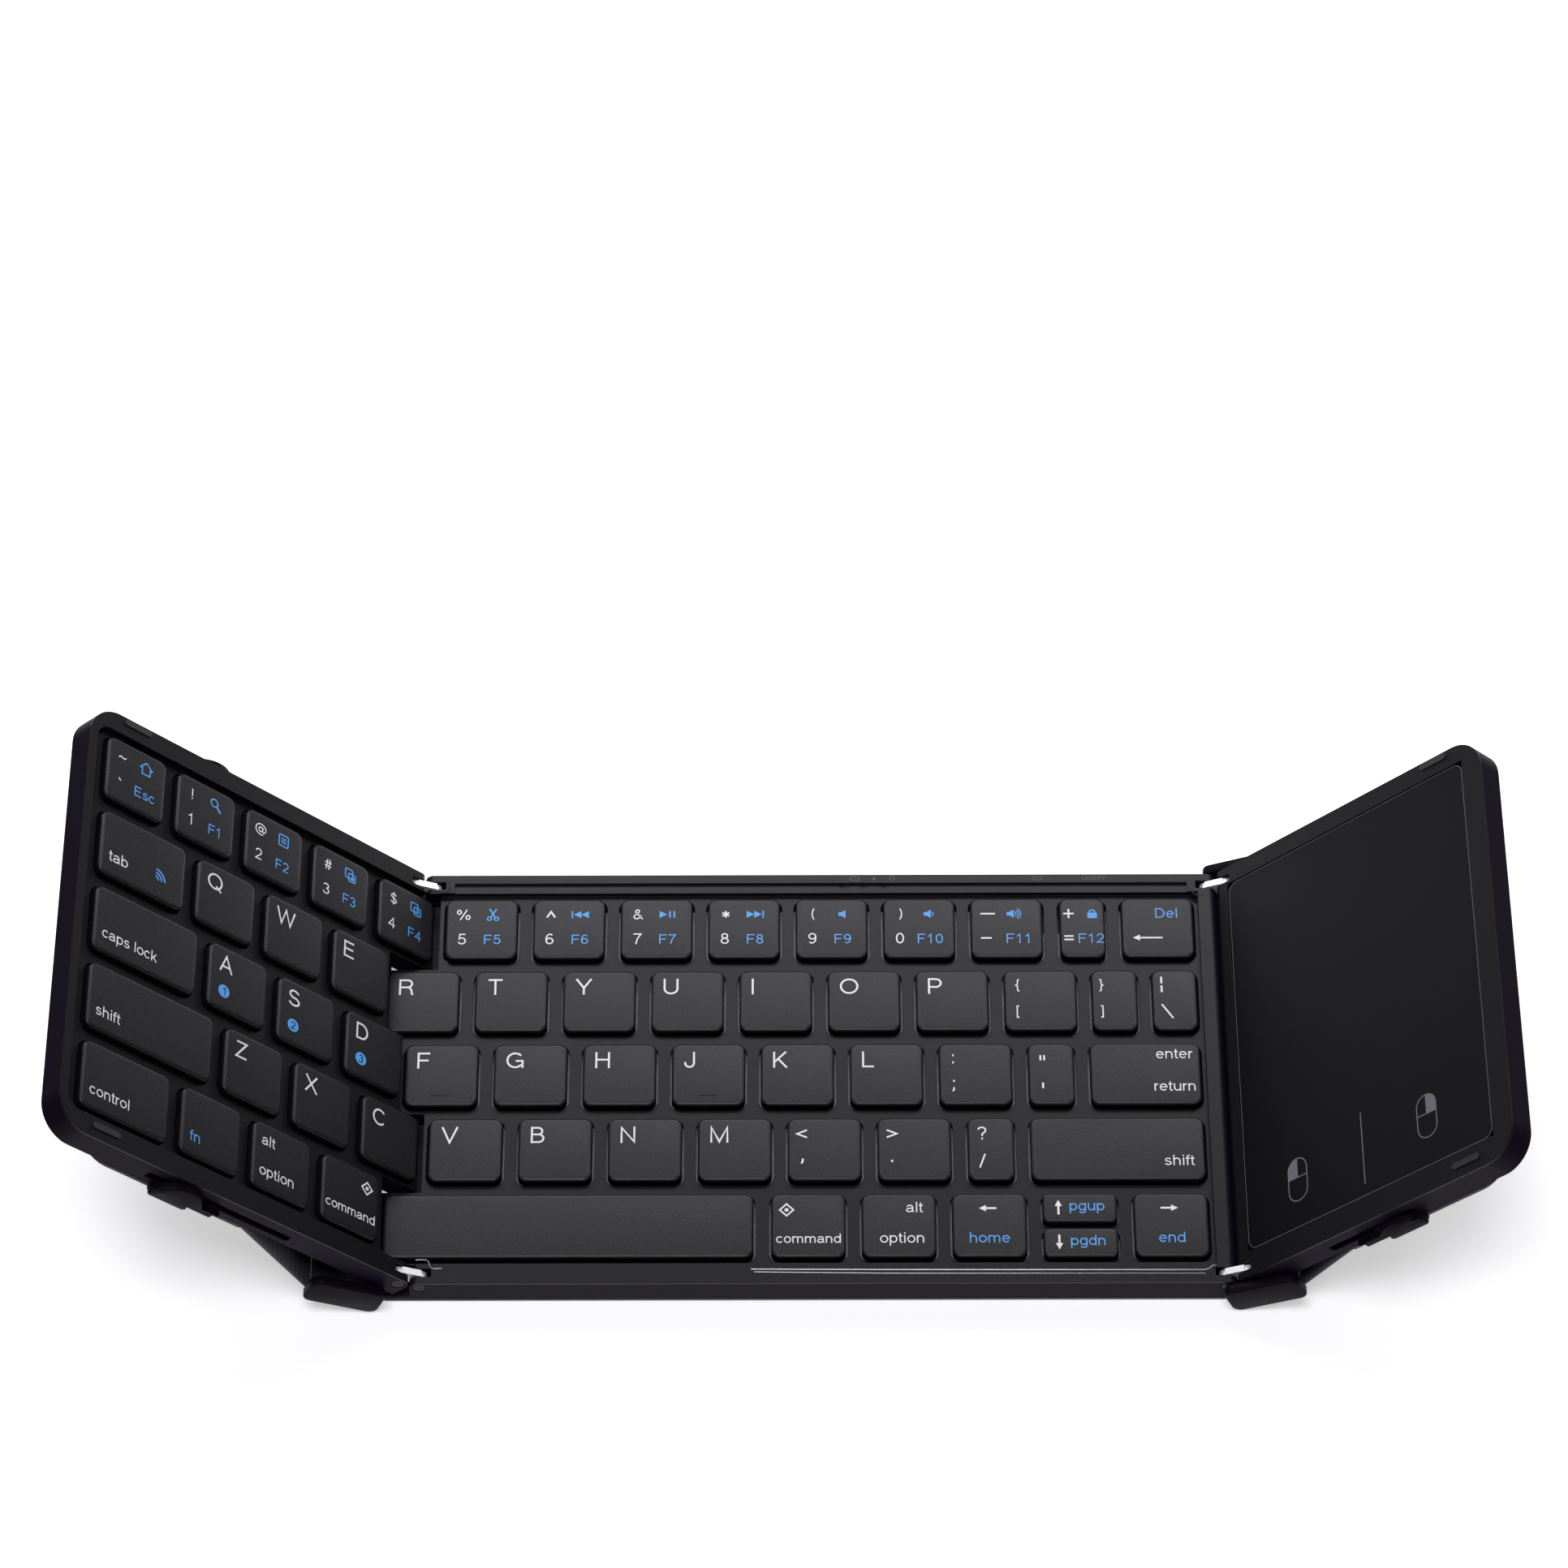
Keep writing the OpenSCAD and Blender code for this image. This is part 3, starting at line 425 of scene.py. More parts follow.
ARTS = {}    # (body, colour) -> Art
WING = {}    # body -> matrix
ZA = ZT + 0.012


def art(body, col):
    return ARTS.setdefault((body, col), Art())


def arc(cx, cy, rx, ry, a0, a1):
    k = max(3, int(abs(a1 - a0) / 15))
    return [(cx + rx * math.cos(math.radians(a0 + (a1 - a0) * i / k)), cy + ry * math.sin(math.radians(a0 + (a1 - a0) * i / k))) for i in range(k + 1)]


def oval(cx, cy, rx, ry):
    return arc(cx, cy, rx, ry, 0, 345) + ["closed"]


def flip(strokes, w):
    return [[(w - p[0], p[1]) for p in st] for st in strokes]


STEM = [(0.16, 0), (0.16, 1)]
BRACE = [[(0.42, 1.02), (0.31, 1.0), (0.25, 0.92), (0.25, 0.56), (0.20, 0.45), (0.10, 0.40), (0.20, 0.35), (0.25, 0.24), (0.25, -0.12), (0.31, -0.20), (0.42, -0.22)]]
BRACKET = [[(0.36, 1.0), (0.17, 1.0), (0.17, -0.2), (0.36, -0.2)]]
PAREN = [arc(0.60, 0.40, 0.42, 0.74, 125, 235)]
# each sign: advance width and its strokes, drawn on a cap height of 1
GLYPH = {
    "A": (0.93, [[(0.07, 0), (0.465, 0.96), (0.86, 0)], [(0.20, 0.32), (0.73, 0.32)]]),
    "B": (0.93, [STEM, [(0.16, 0.94), (0.50, 0.94)] + arc(0.50, 0.735, 0.21, 0.205, 90, -90) + [(0.16, 0.53)], [(0.16, 0.53), (0.53, 0.53)] + arc(0.53, 0.295, 0.25, 0.235, 90, -90) + [(0.16, 0.06)]]),
    "C": (1.0, [arc(0.52, 0.5, 0.41, 0.44, 42, 318)]),
    "D": (1.0, [STEM, [(0.16, 0.94), (0.46, 0.94)] + arc(0.46, 0.5, 0.41, 0.44, 90, -90) + [(0.16, 0.06)]]),
    "E": (0.93, [STEM, [(0.16, 0.94), (0.80, 0.94)], [(0.16, 0.52), (0.76, 0.52)], [(0.16, 0.06), (0.82, 0.06)]]),
    "F": (0.85, [STEM, [(0.16, 0.94), (0.78, 0.94)], [(0.16, 0.50), (0.70, 0.50)]]),
    "G": (1.08, [arc(0.53, 0.5, 0.42, 0.44, 42, 322), [(0.56, 0.46), (0.93, 0.46), (0.93, 0.02)]]),
    "H": (1.0, [STEM, [(0.84, 0), (0.84, 1)], [(0.16, 0.53), (0.84, 0.53)]]),
    "I": (0.39, [[(0.195, 0), (0.195, 1)]]),
    "J": (0.70, [[(0.54, 1), (0.54, 0.30)] + arc(0.305, 0.30, 0.235, 0.24, 0, -180) + [(0.07, 0.37)]]),
    "K": (0.93, [STEM, [(0.16, 0.34), (0.80, 1)], [(0.37, 0.56), (0.85, 0)]]),
    "L": (0.77, [[(0.16, 1), (0.16, 0.06), (0.74, 0.06)]]),
    "M": (1.16, [[(0.15, 0), (0.15, 0.95), (0.58, 0.06), (1.01, 0.95), (1.01, 0)]]),
    "N": (1.0, [[(0.16, 0), (0.16, 0.93), (0.84, 0.07), (0.84, 1)]]),
    "O": (1.08, [oval(0.54, 0.5, 0.45, 0.44)]),
    "P": (0.93, [STEM, [(0.16, 0.94), (0.55, 0.94)] + arc(0.55, 0.69, 0.25, 0.25, 90, -90) + [(0.16, 0.44)]]),
    "Q": (1.08, [oval(0.54, 0.5, 0.45, 0.44), [(0.62, 0.25), (0.97, -0.03)]]),
    "R": (1.0, [STEM, [(0.16, 0.94), (0.57, 0.94)] + arc(0.57, 0.715, 0.23, 0.225, 90, -90) + [(0.16, 0.49)], [(0.54, 0.49), (0.70, 0.44), (0.78, 0.30), (0.80, 0.10), (0.85, 0)]]),
    "S": (0.93, [arc(0.46, 0.725, 0.30, 0.215, 20, 262) + arc(0.46, 0.285, 0.34, 0.225, 82, -165)]),
    "T": (0.85, [[(0.425, 0), (0.425, 1)], [(0.04, 0.94), (0.81, 0.94)]]),
    "U": (1.0, [[(0.15, 1), (0.15, 0.36)] + arc(0.5, 0.36, 0.35, 0.30, 180, 360) + [(0.85, 1)]]),
    "V": (0.93, [[(0.06, 1), (0.465, 0.04), (0.87, 1)]]),
    "W": (1.31, [[(0.05, 1), (0.35, 0.04), (0.655, 0.95), (0.96, 0.04), (1.26, 1)]]),
    "X": (0.93, [[(0.08, 0), (0.84, 1)], [(0.09, 1), (0.86, 0)]]),
    "Y": (0.93, [[(0.06, 1), (0.465, 0.42), (0.87, 1)], [(0.465, 0.45), (0.465, 0)]]),
    "Z": (0.85, [[(0.10, 0.94), (0.77, 0.94), (0.09, 0.06), (0.80, 0.06)]]),
    "0": (0.77, [oval(0.385, 0.5, 0.27, 0.44)]),
    "1": (0.77, [[(0.14, 0.74), (0.32, 0.79), (0.42, 0.95), (0.42, 0)]]),
    "2": (0.77, [arc(0.385, 0.68, 0.265, 0.26, 170, -35) + [(0.10, 0.06), (0.68, 0.06)]]),
    "3": (0.77, [arc(0.37, 0.735, 0.24, 0.205, 160, -85), arc(0.37, 0.295, 0.28, 0.235, 88, -165)]),
    "4": (0.77, [[(0.54, 0), (0.54, 0.93), (0.10, 0.28), (0.74, 0.28)]]),
    "5": (0.77, [[(0.66, 0.94), (0.23, 0.94), (0.16, 0.48)] + arc(0.38, 0.33, 0.28, 0.27, 128, -160)]),
    "6": (0.77, [oval(0.39, 0.31, 0.26, 0.25), arc(0.42, 0.50, 0.29, 0.44, 50, 205)]),
    "7": (0.77, [[(0.08, 0.94), (0.68, 0.94), (0.40, 0.50), (0.28, 0)]]),
    "8": (0.77, [oval(0.385, 0.735, 0.22, 0.205), oval(0.385, 0.29, 0.27, 0.23)]),
    "9": (0.77, [oval(0.38, 0.69, 0.26, 0.25), arc(0.35, 0.50, 0.29, 0.44, 230, 385)]),
    "a": (0.77, [arc(0.36, 0.47, 0.24, 0.20, 165, 0) + [(0.60, 0.12), (0.70, 0.05)], [(0.60, 0.41), (0.33, 0.375)] + arc(0.31, 0.215, 0.22, 0.16, 95, 275) + [(0.48, 0.09), (0.60, 0.22)]]),
    "b": (0.77, [[(0.12, 0), (0.12, 1)], oval(0.39, 0.365, 0.27, 0.305)]),
    "c": (0.70, [arc(0.36, 0.365, 0.28, 0.305, 42, 318)]),
    "d": (0.77, [[(0.64, 0), (0.64, 1)], oval(0.37, 0.365, 0.27, 0.305)]),
    "e": (0.77, [[(0.10, 0.38), (0.66, 0.38)] + arc(0.38, 0.365, 0.28, 0.305, 3, 318)]),
    "f": (0.40, [[(0.17, 0), (0.17, 0.80)] + arc(0.31, 0.80, 0.14, 0.14, 180, 90) + [(0.38, 0.94)], [(0.02, 0.67), (0.36, 0.67)]]),
    "g": (0.77, [oval(0.37, 0.365, 0.27, 0.305), [(0.64, 0.73), (0.64, -0.04)] + arc(0.38, -0.04, 0.26, 0.17, 0, -160)]),
    "h": (0.77, [[(0.12, 0), (0.12, 1)], arc(0.37, 0.43, 0.25, 0.24, 165, 0) + [(0.62, 0)]]),
    "i": (0.31, [[(0.15, 0), (0.15, 0.73)], [(0.15, 0.87), (0.15, 1)]]),
    "k": (0.70, [[(0.12, 0), (0.12, 1)], [(0.13, 0.24), (0.57, 0.73)], [(0.30, 0.40), (0.62, 0)]]),
    "l": (0.31, [[(0.15, 0), (0.15, 1)]]),
    "m": (1.16, [[(0.12, 0), (0.12, 0.73)], arc(0.35, 0.45, 0.22, 0.22, 165, 0) + [(0.57, 0)], arc(0.79, 0.45, 0.22, 0.22, 165, 0) + [(1.01, 0)]]),
    "n": (0.77, [[(0.12, 0), (0.12, 0.73)], arc(0.37, 0.43, 0.25, 0.24, 165, 0) + [(0.62, 0)]]),
    "o": (0.77, [oval(0.385, 0.365, 0.29, 0.305)]),
    "p": (0.77, [[(0.12, 0.73), (0.12, -0.27)], oval(0.39, 0.365, 0.27, 0.305)]),
    "r": (0.46, [[(0.12, 0), (0.12, 0.73)], arc(0.38, 0.38, 0.26, 0.29, 165, 85)]),
    "s": (0.70, [arc(0.34, 0.525, 0.21, 0.15, 20, 262) + arc(0.34, 0.215, 0.24, 0.155, 82, -165)]),
    "t": (0.40, [[(0.17, 0.92), (0.17, 0.17)] + arc(0.29, 0.17, 0.12, 0.12, 180, 270) + [(0.37, 0.05)], [(0.02, 0.67), (0.36, 0.67)]]),
    "u": (0.77, [[(0.64, 0.73), (0.64, 0)], [(0.13, 0.73), (0.13, 0.30)] + arc(0.38, 0.30, 0.25, 0.245, 180, 350)]),
    " ": (0.36, []),
    "%": (1.2, [oval(0.22, 0.76, 0.16, 0.19), oval(0.96, 0.24, 0.16, 0.19), [(0.32, 0), (0.86, 1)]]),
    "&": (0.93, [[(0.86, 0.02), (0.31, 0.66), (0.26, 0.79), (0.33, 0.92), (0.43, 0.95), (0.54, 0.90), (0.58, 0.79), (0.50, 0.65), (0.24, 0.46), (0.13, 0.30), (0.15, 0.15), (0.28, 0.06), (0.44, 0.07), (0.62, 0.20), (0.74, 0.42)]]),
    "*": (0.54, [[(0.27, 0.45), (0.27, 0.95)], [(0.05, 0.575), (0.49, 0.825)], [(0.05, 0.825), (0.49, 0.575)]]),
    "(": (0.46, PAREN), ")": (0.46, flip(PAREN, 0.46)),
    "!": (0.40, [[(0.2, 0.28), (0.2, 1)], [(0.2, 0), (0.2, 0.14)]]),
    "@": (1.4, [oval(0.66, 0.44, 0.21, 0.24), arc(0.68, 0.45, 0.58, 0.54, -62, -358), [(0.90, 0.68), (0.87, 0.28), (0.98, 0.18), (1.14, 0.26), (1.25, 0.42)]]),
    "#": (0.77, [[(0.20, 0), (0.34, 1)], [(0.48, 0), (0.62, 1)], [(0.06, 0.67), (0.76, 0.67)], [(0.02, 0.33), (0.72, 0.33)]]),
    "$": (0.77, [arc(0.385, 0.725, 0.26, 0.205, 20, 262) + arc(0.385, 0.285, 0.29, 0.225, 82, -165), [(0.385, -0.10), (0.385, 1.10)]]),
    "~": (0.80, [[(0.05, 0.40), (0.14, 0.51), (0.26, 0.55), (0.40, 0.48), (0.52, 0.42), (0.64, 0.46), (0.74, 0.57)]]),
    "`": (0.46, [[(0.12, 1.02), (0.30, 0.80)]]),
    "{": (0.48, BRACE), "}": (0.48, flip(BRACE, 0.48)),
    "[": (0.40, BRACKET), "]": (0.40, flip(BRACKET, 0.40)),
    ":": (0.40, [[(0.2, 0), (0.2, 0.15)], [(0.2, 0.56), (0.2, 0.71)]]),
    ";": (0.40, [[(0.22, 0.14), (0.22, 0), (0.15, -0.17)], [(0.22, 0.56), (0.22, 0.71)]]),
    '"': (0.46, [[(0.12, 0.64), (0.12, 1)], [(0.34, 0.64), (0.34, 1)]]),
    "'": (0.30, [[(0.15, 0.64), (0.15, 1)]]),
    ",": (0.40, [[(0.22, 0.14), (0.22, 0), (0.15, -0.17)]]),
    ".": (0.40, [[(0.2, 0), (0.2, 0.14)]]),
    "?": (0.77, [arc(0.37, 0.73, 0.25, 0.21, 170, -35) + [(0.40, 0.44), (0.38, 0.27)], [(0.38, 0), (0.38, 0.14)]]),
    "/": (0.40, [[(0.02, -0.02), (0.38, 1.02)]]),
}


def text(body, col, s, x, y, h, anchor="BC", weight=0.108, dz=0.0):
    """Letters of cap height h; the anchor is the left, centre or right of the ink, on the baseline or its middle."""
    X, strokes = 0.0, []
    for ch in s:
        adv, st = GLYPH[ch]
        strokes += [[p if isinstance(p, str) else (p[0] + X, p[1]) for p in q] for q in st]
        X += adv * 1.02
    pts = [p for q in strokes for p in q if not isinstance(p, str)]
    w = weight * h
    x0, x1 = min(p[0] for p in pts) * h - w / 2, max(p[0] for p in pts) * h + w / 2
    y0, y1 = min(p[1] for p in pts) * h, max(p[1] for p in pts) * h
    dx = {"BL": -x0, "BC": -(x0 + x1) / 2, "BR": -x1, "C": -(x0 + x1) / 2}[anchor]
    dy = -(y0 + y1) / 2 if anchor == "C" else 0
    A = art(body, col)
    for q in strokes:
        cl = isinstance(q[-1], str)
        A.path([(p[0] * h + dx + x, p[1] * h + dy + y) for p in q if not isinstance(p, str)], w, ZA + dz, cl)


def icon(body, name, cx, cy, col="blue", s=1.0):
    A = art(body, col)
    z = ZA
    w = 0.28 * s
    if name == "scissors":
        for q in (-1, 1):
            A.ring(cx + q * 0.72, cy - 0.95, 0.42, 0.26, z)
            A.line((cx + q * 0.45, cy - 0.6), (cx - q * 0.72, cy + 1.45), 0.30, z)
    elif name in ("prev", "next", "play"):
        d = -1 if name == "prev" else 1
        if name == "play":
            A.poly([(cx - 1.7, cy - 0.85), (cx - 0.1, cy), (cx - 1.7, cy + 0.85)], z)
            A.line((cx + 0.45, cy - 0.8), (cx + 0.45, cy + 0.8), 0.36, z)
            A.line((cx + 1.35, cy - 0.8), (cx + 1.35, cy + 0.8), 0.36, z)
        else:
            for o in (-1.75, -0.2):
                A.poly([(cx + d * o, cy - 0.85), (cx + d * (o + 1.55), cy), (cx + d * o, cy + 0.85)], z)
            A.line((cx + d * 1.65, cy - 0.85), (cx + d * 1.65, cy + 0.85), 0.30, z)
    elif name.startswith("sound"):
        k = int(name[-1])
        x = cx - 0.45 * k
        A.poly([(x - 0.85, cy - 0.42), (x - 0.25, cy - 0.42), (x + 0.6, cy - 1.0), (x + 0.6, cy + 1.0), (x - 0.25, cy + 0.42), (x - 0.85, cy + 0.42)], z)
        for i in range(k):
            A.ring(x + 0.45, cy, 0.62 + 0.48 * i, 0.20, z, -52, 52)
    elif name == "lock":
        A.poly(rr(cx - 0.98, cy - 1.15, cx + 0.98, cy + 0.2, 0.15, 3), z)
        A.ring(cx, cy + 0.25, 0.58, 0.30, z, 0, 180)
    elif name == "home":
        A.path([(cx - 1.6, cy + 0.05), (cx, cy + 1.5), (cx + 1.6, cy + 0.05)], w, z)
        A.path([(cx - 1.0, cy + 0.3), (cx - 1.0, cy - 1.25), (cx + 1.0, cy - 1.25), (cx + 1.0, cy + 0.3)], w, z)
        A.line((cx - 1.55, cy + 0.1), (cx - 1.0, cy + 0.1), w, z)
        A.line((cx + 1.0, cy + 0.1), (cx + 1.55, cy + 0.1), w, z)
    elif name == "search":
        A.ring(cx - 0.35, cy + 0.45, 0.88, 0.30, z)
        A.line((cx + 0.25, cy - 0.15), (cx + 1.35, cy - 1.35), 0.42, z)
    elif name in ("page", "copy", "paste"):
        if name == "page":
            A.path(rr(cx - 1.2, cy - 1.3, cx + 1.2, cy + 1.3, 0.35, 4), w, z, True)
            for o in (-0.5, 0.0, 0.5):
                A.line((cx - 0.65, cy + o), (cx + 0.65, cy + o), 0.24, z)
        else:
            A.path(rr(cx - 1.35, cy - 0.7, cx + 0.55, cy + 1.35, 0.3, 4), w, z, True)
            A.path(rr(cx - 0.45, cy - 1.35, cx + 1.35, cy + 0.45, 0.3, 4), w, z, True)
            if name == "paste":
                for o in (-0.75, -0.25):
                    A.line((cx - 0.05, cy + o), (cx + 0.95, cy + o), 0.2, z)
            else:
                A.poly([(cx - 0.1, cy - 1.0), (cx + 1.0, cy - 1.0), (cx + 1.0, cy + 0.1)], z)
    elif name == "waves":
        for i in range(3):
            A.ring(cx - 1.3, cy - 1.1, 0.85 + 0.8 * i, 0.36, z, 4, 86)
    elif name.startswith("num"):
        A.disc(cx, cy, 1.42, z)
        text(body, "dark", name[-1], cx, cy, 1.75, "C", 0.14, 0.03)
    elif name == "diamond":
        A.path([(cx - 1.35, cy), (cx, cy + 1.35), (cx + 1.35, cy), (cx, cy - 1.35)], 0.34, z, True)
        A.disc(cx, cy, 0.42, z, 16)
    elif name in ("left", "right", "up", "down"):
        d = {"left": (-1, 0), "right": (1, 0), "up": (0, 1), "down": (0, -1)}[name]
        u = (-d[1], d[0])
        h = 1.75 * s
        A.line((cx - d[0] * h, cy - d[1] * h), (cx + d[0] * (h - 1.1), cy + d[1] * (h - 1.1)), 0.42, z)
        tip = (cx + d[0] * h, cy + d[1] * h)
        bk = (cx + d[0] * (h - 1.4), cy + d[1] * (h - 1.4))
        A.poly([(bk[0] + u[0] * 0.72, bk[1] + u[1] * 0.72), (bk[0] - u[0] * 0.72, bk[1] - u[1] * 0.72), tip], z)
    elif name == "backspace":
        A.line((cx - 2.2, cy), (cx + 3.05, cy), 0.36, z)
        A.poly([(cx - 3.05, cy), (cx - 1.6, cy + 0.7), (cx - 1.6, cy - 0.7)], z)


# ---------------------------------------------------------------- keys
KEYS = []


def keys(node, row, items, wing=False):
    KEYS.append((node, row, items, wing))


def digit(sym, num, fn, ic, narrow=False):
    return ("digit", sym, num, fn, ic, narrow)


keys("digit_keys", 0, [(X5 + i * PX, CW, d) for i, d in enumerate([
    digit("%", "5", "F5", "scissors"), digit("^", "6", "F6", "prev"), digit("&", "7", "F7", "play"),
    digit("*", "8", "F8", "next"), digit("(", "9", "F9", "sound0"), digit(")", "0", "F10", "sound1"),
    digit("_", "-", "F11", "sound3")])])
keys("equals_key", 0, [(X5 + 126.35, 9.6, digit("+", "=", "F12", "lock", True))])
keys("delete_key", 0, [(KR - CW, CW, ("del",))])
keys("top_keys", 1, [(XROW1 + i * PX, CW, ("letter", c)) for i, c in enumerate("RTYUIOP")] + [(XROW1 + 7 * PX, CW, ("two", "{", "["))])
keys("bracket_key", 1, [(X5 + 132.35, 9.6, ("two", "}", "]"))])
keys("backslash_key", 1, [(KR - 9.4, 9.4, ("bar",))])
keys("home_keys", 2, [(XROW2 + i * PX, CW, ("letter", c)) for i, c in enumerate("FGHJKL")] + [(XROW2 + 6 * PX, CW, ("two", ":", ";"))])
keys("quote_key", 2, [(X5 + 118.95, 9.6, ("two", '"', "'"))])
keys("enter_key", 2, [(X5 + 131.5, 22.6, ("enter",))])
keys("bottom_keys", 3, [(XROW3 + i * PX, CW, ("letter", c)) for i, c in enumerate("VBNM")] + [(XROW3 + 4 * PX, CW, ("two", "<", ",")), (XROW3 + 5 * PX, CW, ("two", ">", "."))])
keys("slash_key", 3, [(X5 + 106.35, 9.6, ("two", "?", "/"))])
keys("right_shift_key", 3, [(X5 + 118.95, 35.15, ("wordr", "shift"))])
keys("space_bar", 4, [(XROW4, 73.84, None)])
keys("right_modifier_keys", 4, [(X5 + 66.93, CW, ("diamond", "l")), (X5 + 66.93 + PX, CW, ("altr",))])
keys("left_arrow_key", 4, [(X5 + 102.93, CW, ("arrow", "left", "home"))])
keys("right_arrow_key", 4, [(KR - CW, CW, ("arrow", "right", "end"))])
keys("esc_key", 0, [(KL, CW, digit("~", "`", "Esc", "home"))], True)
keys("left_digit_keys", 0, [(KL + PX * (i + 1), CW, d) for i, d in enumerate([
    digit("!", "1", "F1", "search"), digit("@", "2", "F2", "page"), digit("#", "3", "F3", "copy"), digit("$", "4", "F4", "paste")])], True)
keys("tab_key", 1, [(KL, LX1 - GAP - KL, ("tab",))], True)
keys("left_top_keys", 1, [(LX1 + i * PX, CW, ("letter", c)) for i, c in enumerate("QWE")], True)
keys("caps_key", 2, [(KL, LX2 - GAP - KL, ("wordl", "caps lock"))], True)
keys("left_home_keys", 2, [(LX2 + i * PX, CW, ("letter", c, str(i + 1))) for i, c in enumerate("ASD")], True)
keys("left_shift_key", 3, [(KL, LX3 - GAP - KL, ("wordl", "shift"))], True)
keys("left_bottom_keys", 3, [(LX3 + i * PX, CW, ("letter", c)) for i, c in enumerate("ZXC")], True)
keys("control_key", 4, [(KL, LX4 - GAP - KL, ("wordl", "control"))], True)
keys("fn_key", 4, [(LX4, CW, ("fn",))], True)
keys("left_alt_key", 4, [(LX4 + PX, CW, ("altl",))], True)
keys("left_command_key", 4, [(LX4 + 2 * PX, CW, ("diamond", "r"))], True)

PROF = [(0.5, 4.9), (0.1, 5.1), (0.1, 6.6), (0.15, 6.86), (0.25, 7.07), (0.42, 7.2), (0.62, 7.275), (0.88, 7.3)]


def legend(b, x, yr_, w, spec):
    """Draws one key's lettering. x: left edge, yr_: rear edge."""
    if spec is None:
        return
    k = spec[0]
    if k == "digit":
        _, sym, num, fn, ic, narrow = spec
        a = 2.0 if narrow else 3.75
        c = 6.55 if narrow else 9.8
        if sym == "_":
            art(b, "white").line((x + 2.2, yr_ - 4.0), (x + 5.2, yr_ - 4.0), 0.36, ZA)
        elif sym == "^":
            art(b, "white").path([(x + a - 0.85, yr_ - 4.7), (x + a, yr_ - 3.3), (x + a + 0.85, yr_ - 4.7)], 0.38, ZA)
        elif sym == "+":
            art(b, "white").line((x + a - 1.1, yr_ - 4.0), (x + a + 1.1, yr_ - 4.0), 0.38, ZA)
            art(b, "white").line((x + a, yr_ - 5.1), (x + a, yr_ - 2.9), 0.38, ZA)
        elif sym == "~":
            text(b, "white", sym, x + a, yr_ - 4.0, 2.6, "C")
        else:
            text(b, "white", sym, x + a, yr_ - 4.0, {"*": 3.2, "@": 2.3, "(": 2.2, ")": 2.2}.get(sym, 2.45), "C")
        if num == "-":
            art(b, "white").line((x + 2.2, yr_ - 9.9), (x + 4.4, yr_ - 9.9), 0.36, ZA)
        elif num == "=":
            for o in (-0.42, 0.42):
                art(b, "white").line((x + a - 1.0, yr_ - 9.9 + o), (x + a + 0.9, yr_ - 9.9 + o), 0.36, ZA)
        elif num == "`":
            text(b, "white", num, x + a - 0.3, yr_ - 9.2, 2.6, "C")
        else:
            text(b, "white", num, x + 3.55, yr_ - 11.2, 2.6, "BC")
        text(b, "blue", fn, x + c, yr_ - 11.15, 2.3, "BC")
        icon(b, ic, x + c + (0.3 if narrow else 0), yr_ - 4.0)
    elif k == "letter":
        text(b, "white", spec[1], x + 2.6, yr_ - 5.9, 3.75, "BL")
        if len(spec) > 2:
            icon(b, "num" + spec[2], x + 4.1, yr_ - 10.3)
    elif k == "two":
        cx = x + (2.2 if w < 12 and spec[1] in "}" else 3.0)
        for s, yy in ((spec[1], 3.9), (spec[2], 10.2)):
            if s in "{}[]":
                text(b, "white", s, cx - 0.1, yr_ - yy, 2.25, "C")
            elif s in "<>":
                q = 1 if s == "<" else -1
                art(b, "white").path([(cx + q * 1.0, yr_ - yy + 0.85), (cx - q * 1.0, yr_ - yy), (cx + q * 1.0, yr_ - yy - 0.85)], 0.38, ZA)
            elif s in ",.'":
                text(b, "white", s, cx, yr_ - yy, 3.6, "C")
            elif s == '"':
                text(b, "white", s, cx, yr_ - yy + 0.2, 3.4, "C")
            else:
                text(b, "white", s, cx, yr_ - yy, 3.0, "C")
    elif k == "bar":
        art(b, "white").line((x + 2.1, yr_ - 1.9), (x + 2.1, yr_ - 3.5), 0.40, ZA)
        art(b, "white").line((x + 2.1, yr_ - 4.0), (x + 2.1, yr_ - 5.6), 0.40, ZA)
        art(b, "white").line((x + 2.0, yr_ - 8.5), (x + 4.2, yr_ - 11.8), 0.36, ZA)
    elif k == "enter":
        text(b, "white", "enter", x + w - 1.6, yr_ - 3.9, 2.35, "BR")
        text(b, "white", "return", x + w - 1.4, yr_ - 11.5, 2.35, "BR")
    elif k == "wordr":
        text(b, "white", spec[1], x + w - 2.2, yr_ - 11.3, 2.35, "BR")
    elif k == "wordl":
        text(b, "white", spec[1], x + 2.2, yr_ - 11.4, 2.35, "BL")
    elif k == "tab":
        text(b, "white", "tab", x + 2.2, yr_ - 11.2, 2.5, "BL")
        icon(b, "waves", x + 15.3, yr_ - 9.2)
    elif k == "fn":
        text(b, "blue", "fn", x + 2.2, yr_ - 11.4, 2.35, "BL")
    elif k == "altl":
        text(b, "white", "alt", x + 2.2, yr_ - 4.9, 2.35, "BL")
        text(b, "white", "option", x + 2.0, yr_ - 11.6, 2.35, "BL")
    elif k == "altr":
        text(b, "white", "alt", x + w - 2.6, yr_ - 4.5, 2.35, "BR")
        text(b, "white", "option", x + w - 2.6, yr_ - 11.4, 2.35, "BR")
    elif k == "diamond":
        icon(b, "diamond", x + (3.2 if spec[1] == "l" else 11.6), yr_ - 3.9, "white")
        text(b, "white", "command", x + CW / 2, yr_ - 11.4, 2.1, "BC", 0.115)
    elif k == "arrow":
        icon(b, spec[1], x + 7.2, yr_ - 3.6, "white")
        text(b, "blue", spec[2], x + 7.5, yr_ - 11.4, 2.35, "BC")
    elif k == "del":
        text(b, "blue", "Del", x + 9.4, yr_ - 5.1, 2.35, "BC")
        icon(b, "backspace", x + 5.4, yr_ - 9.9, "white")


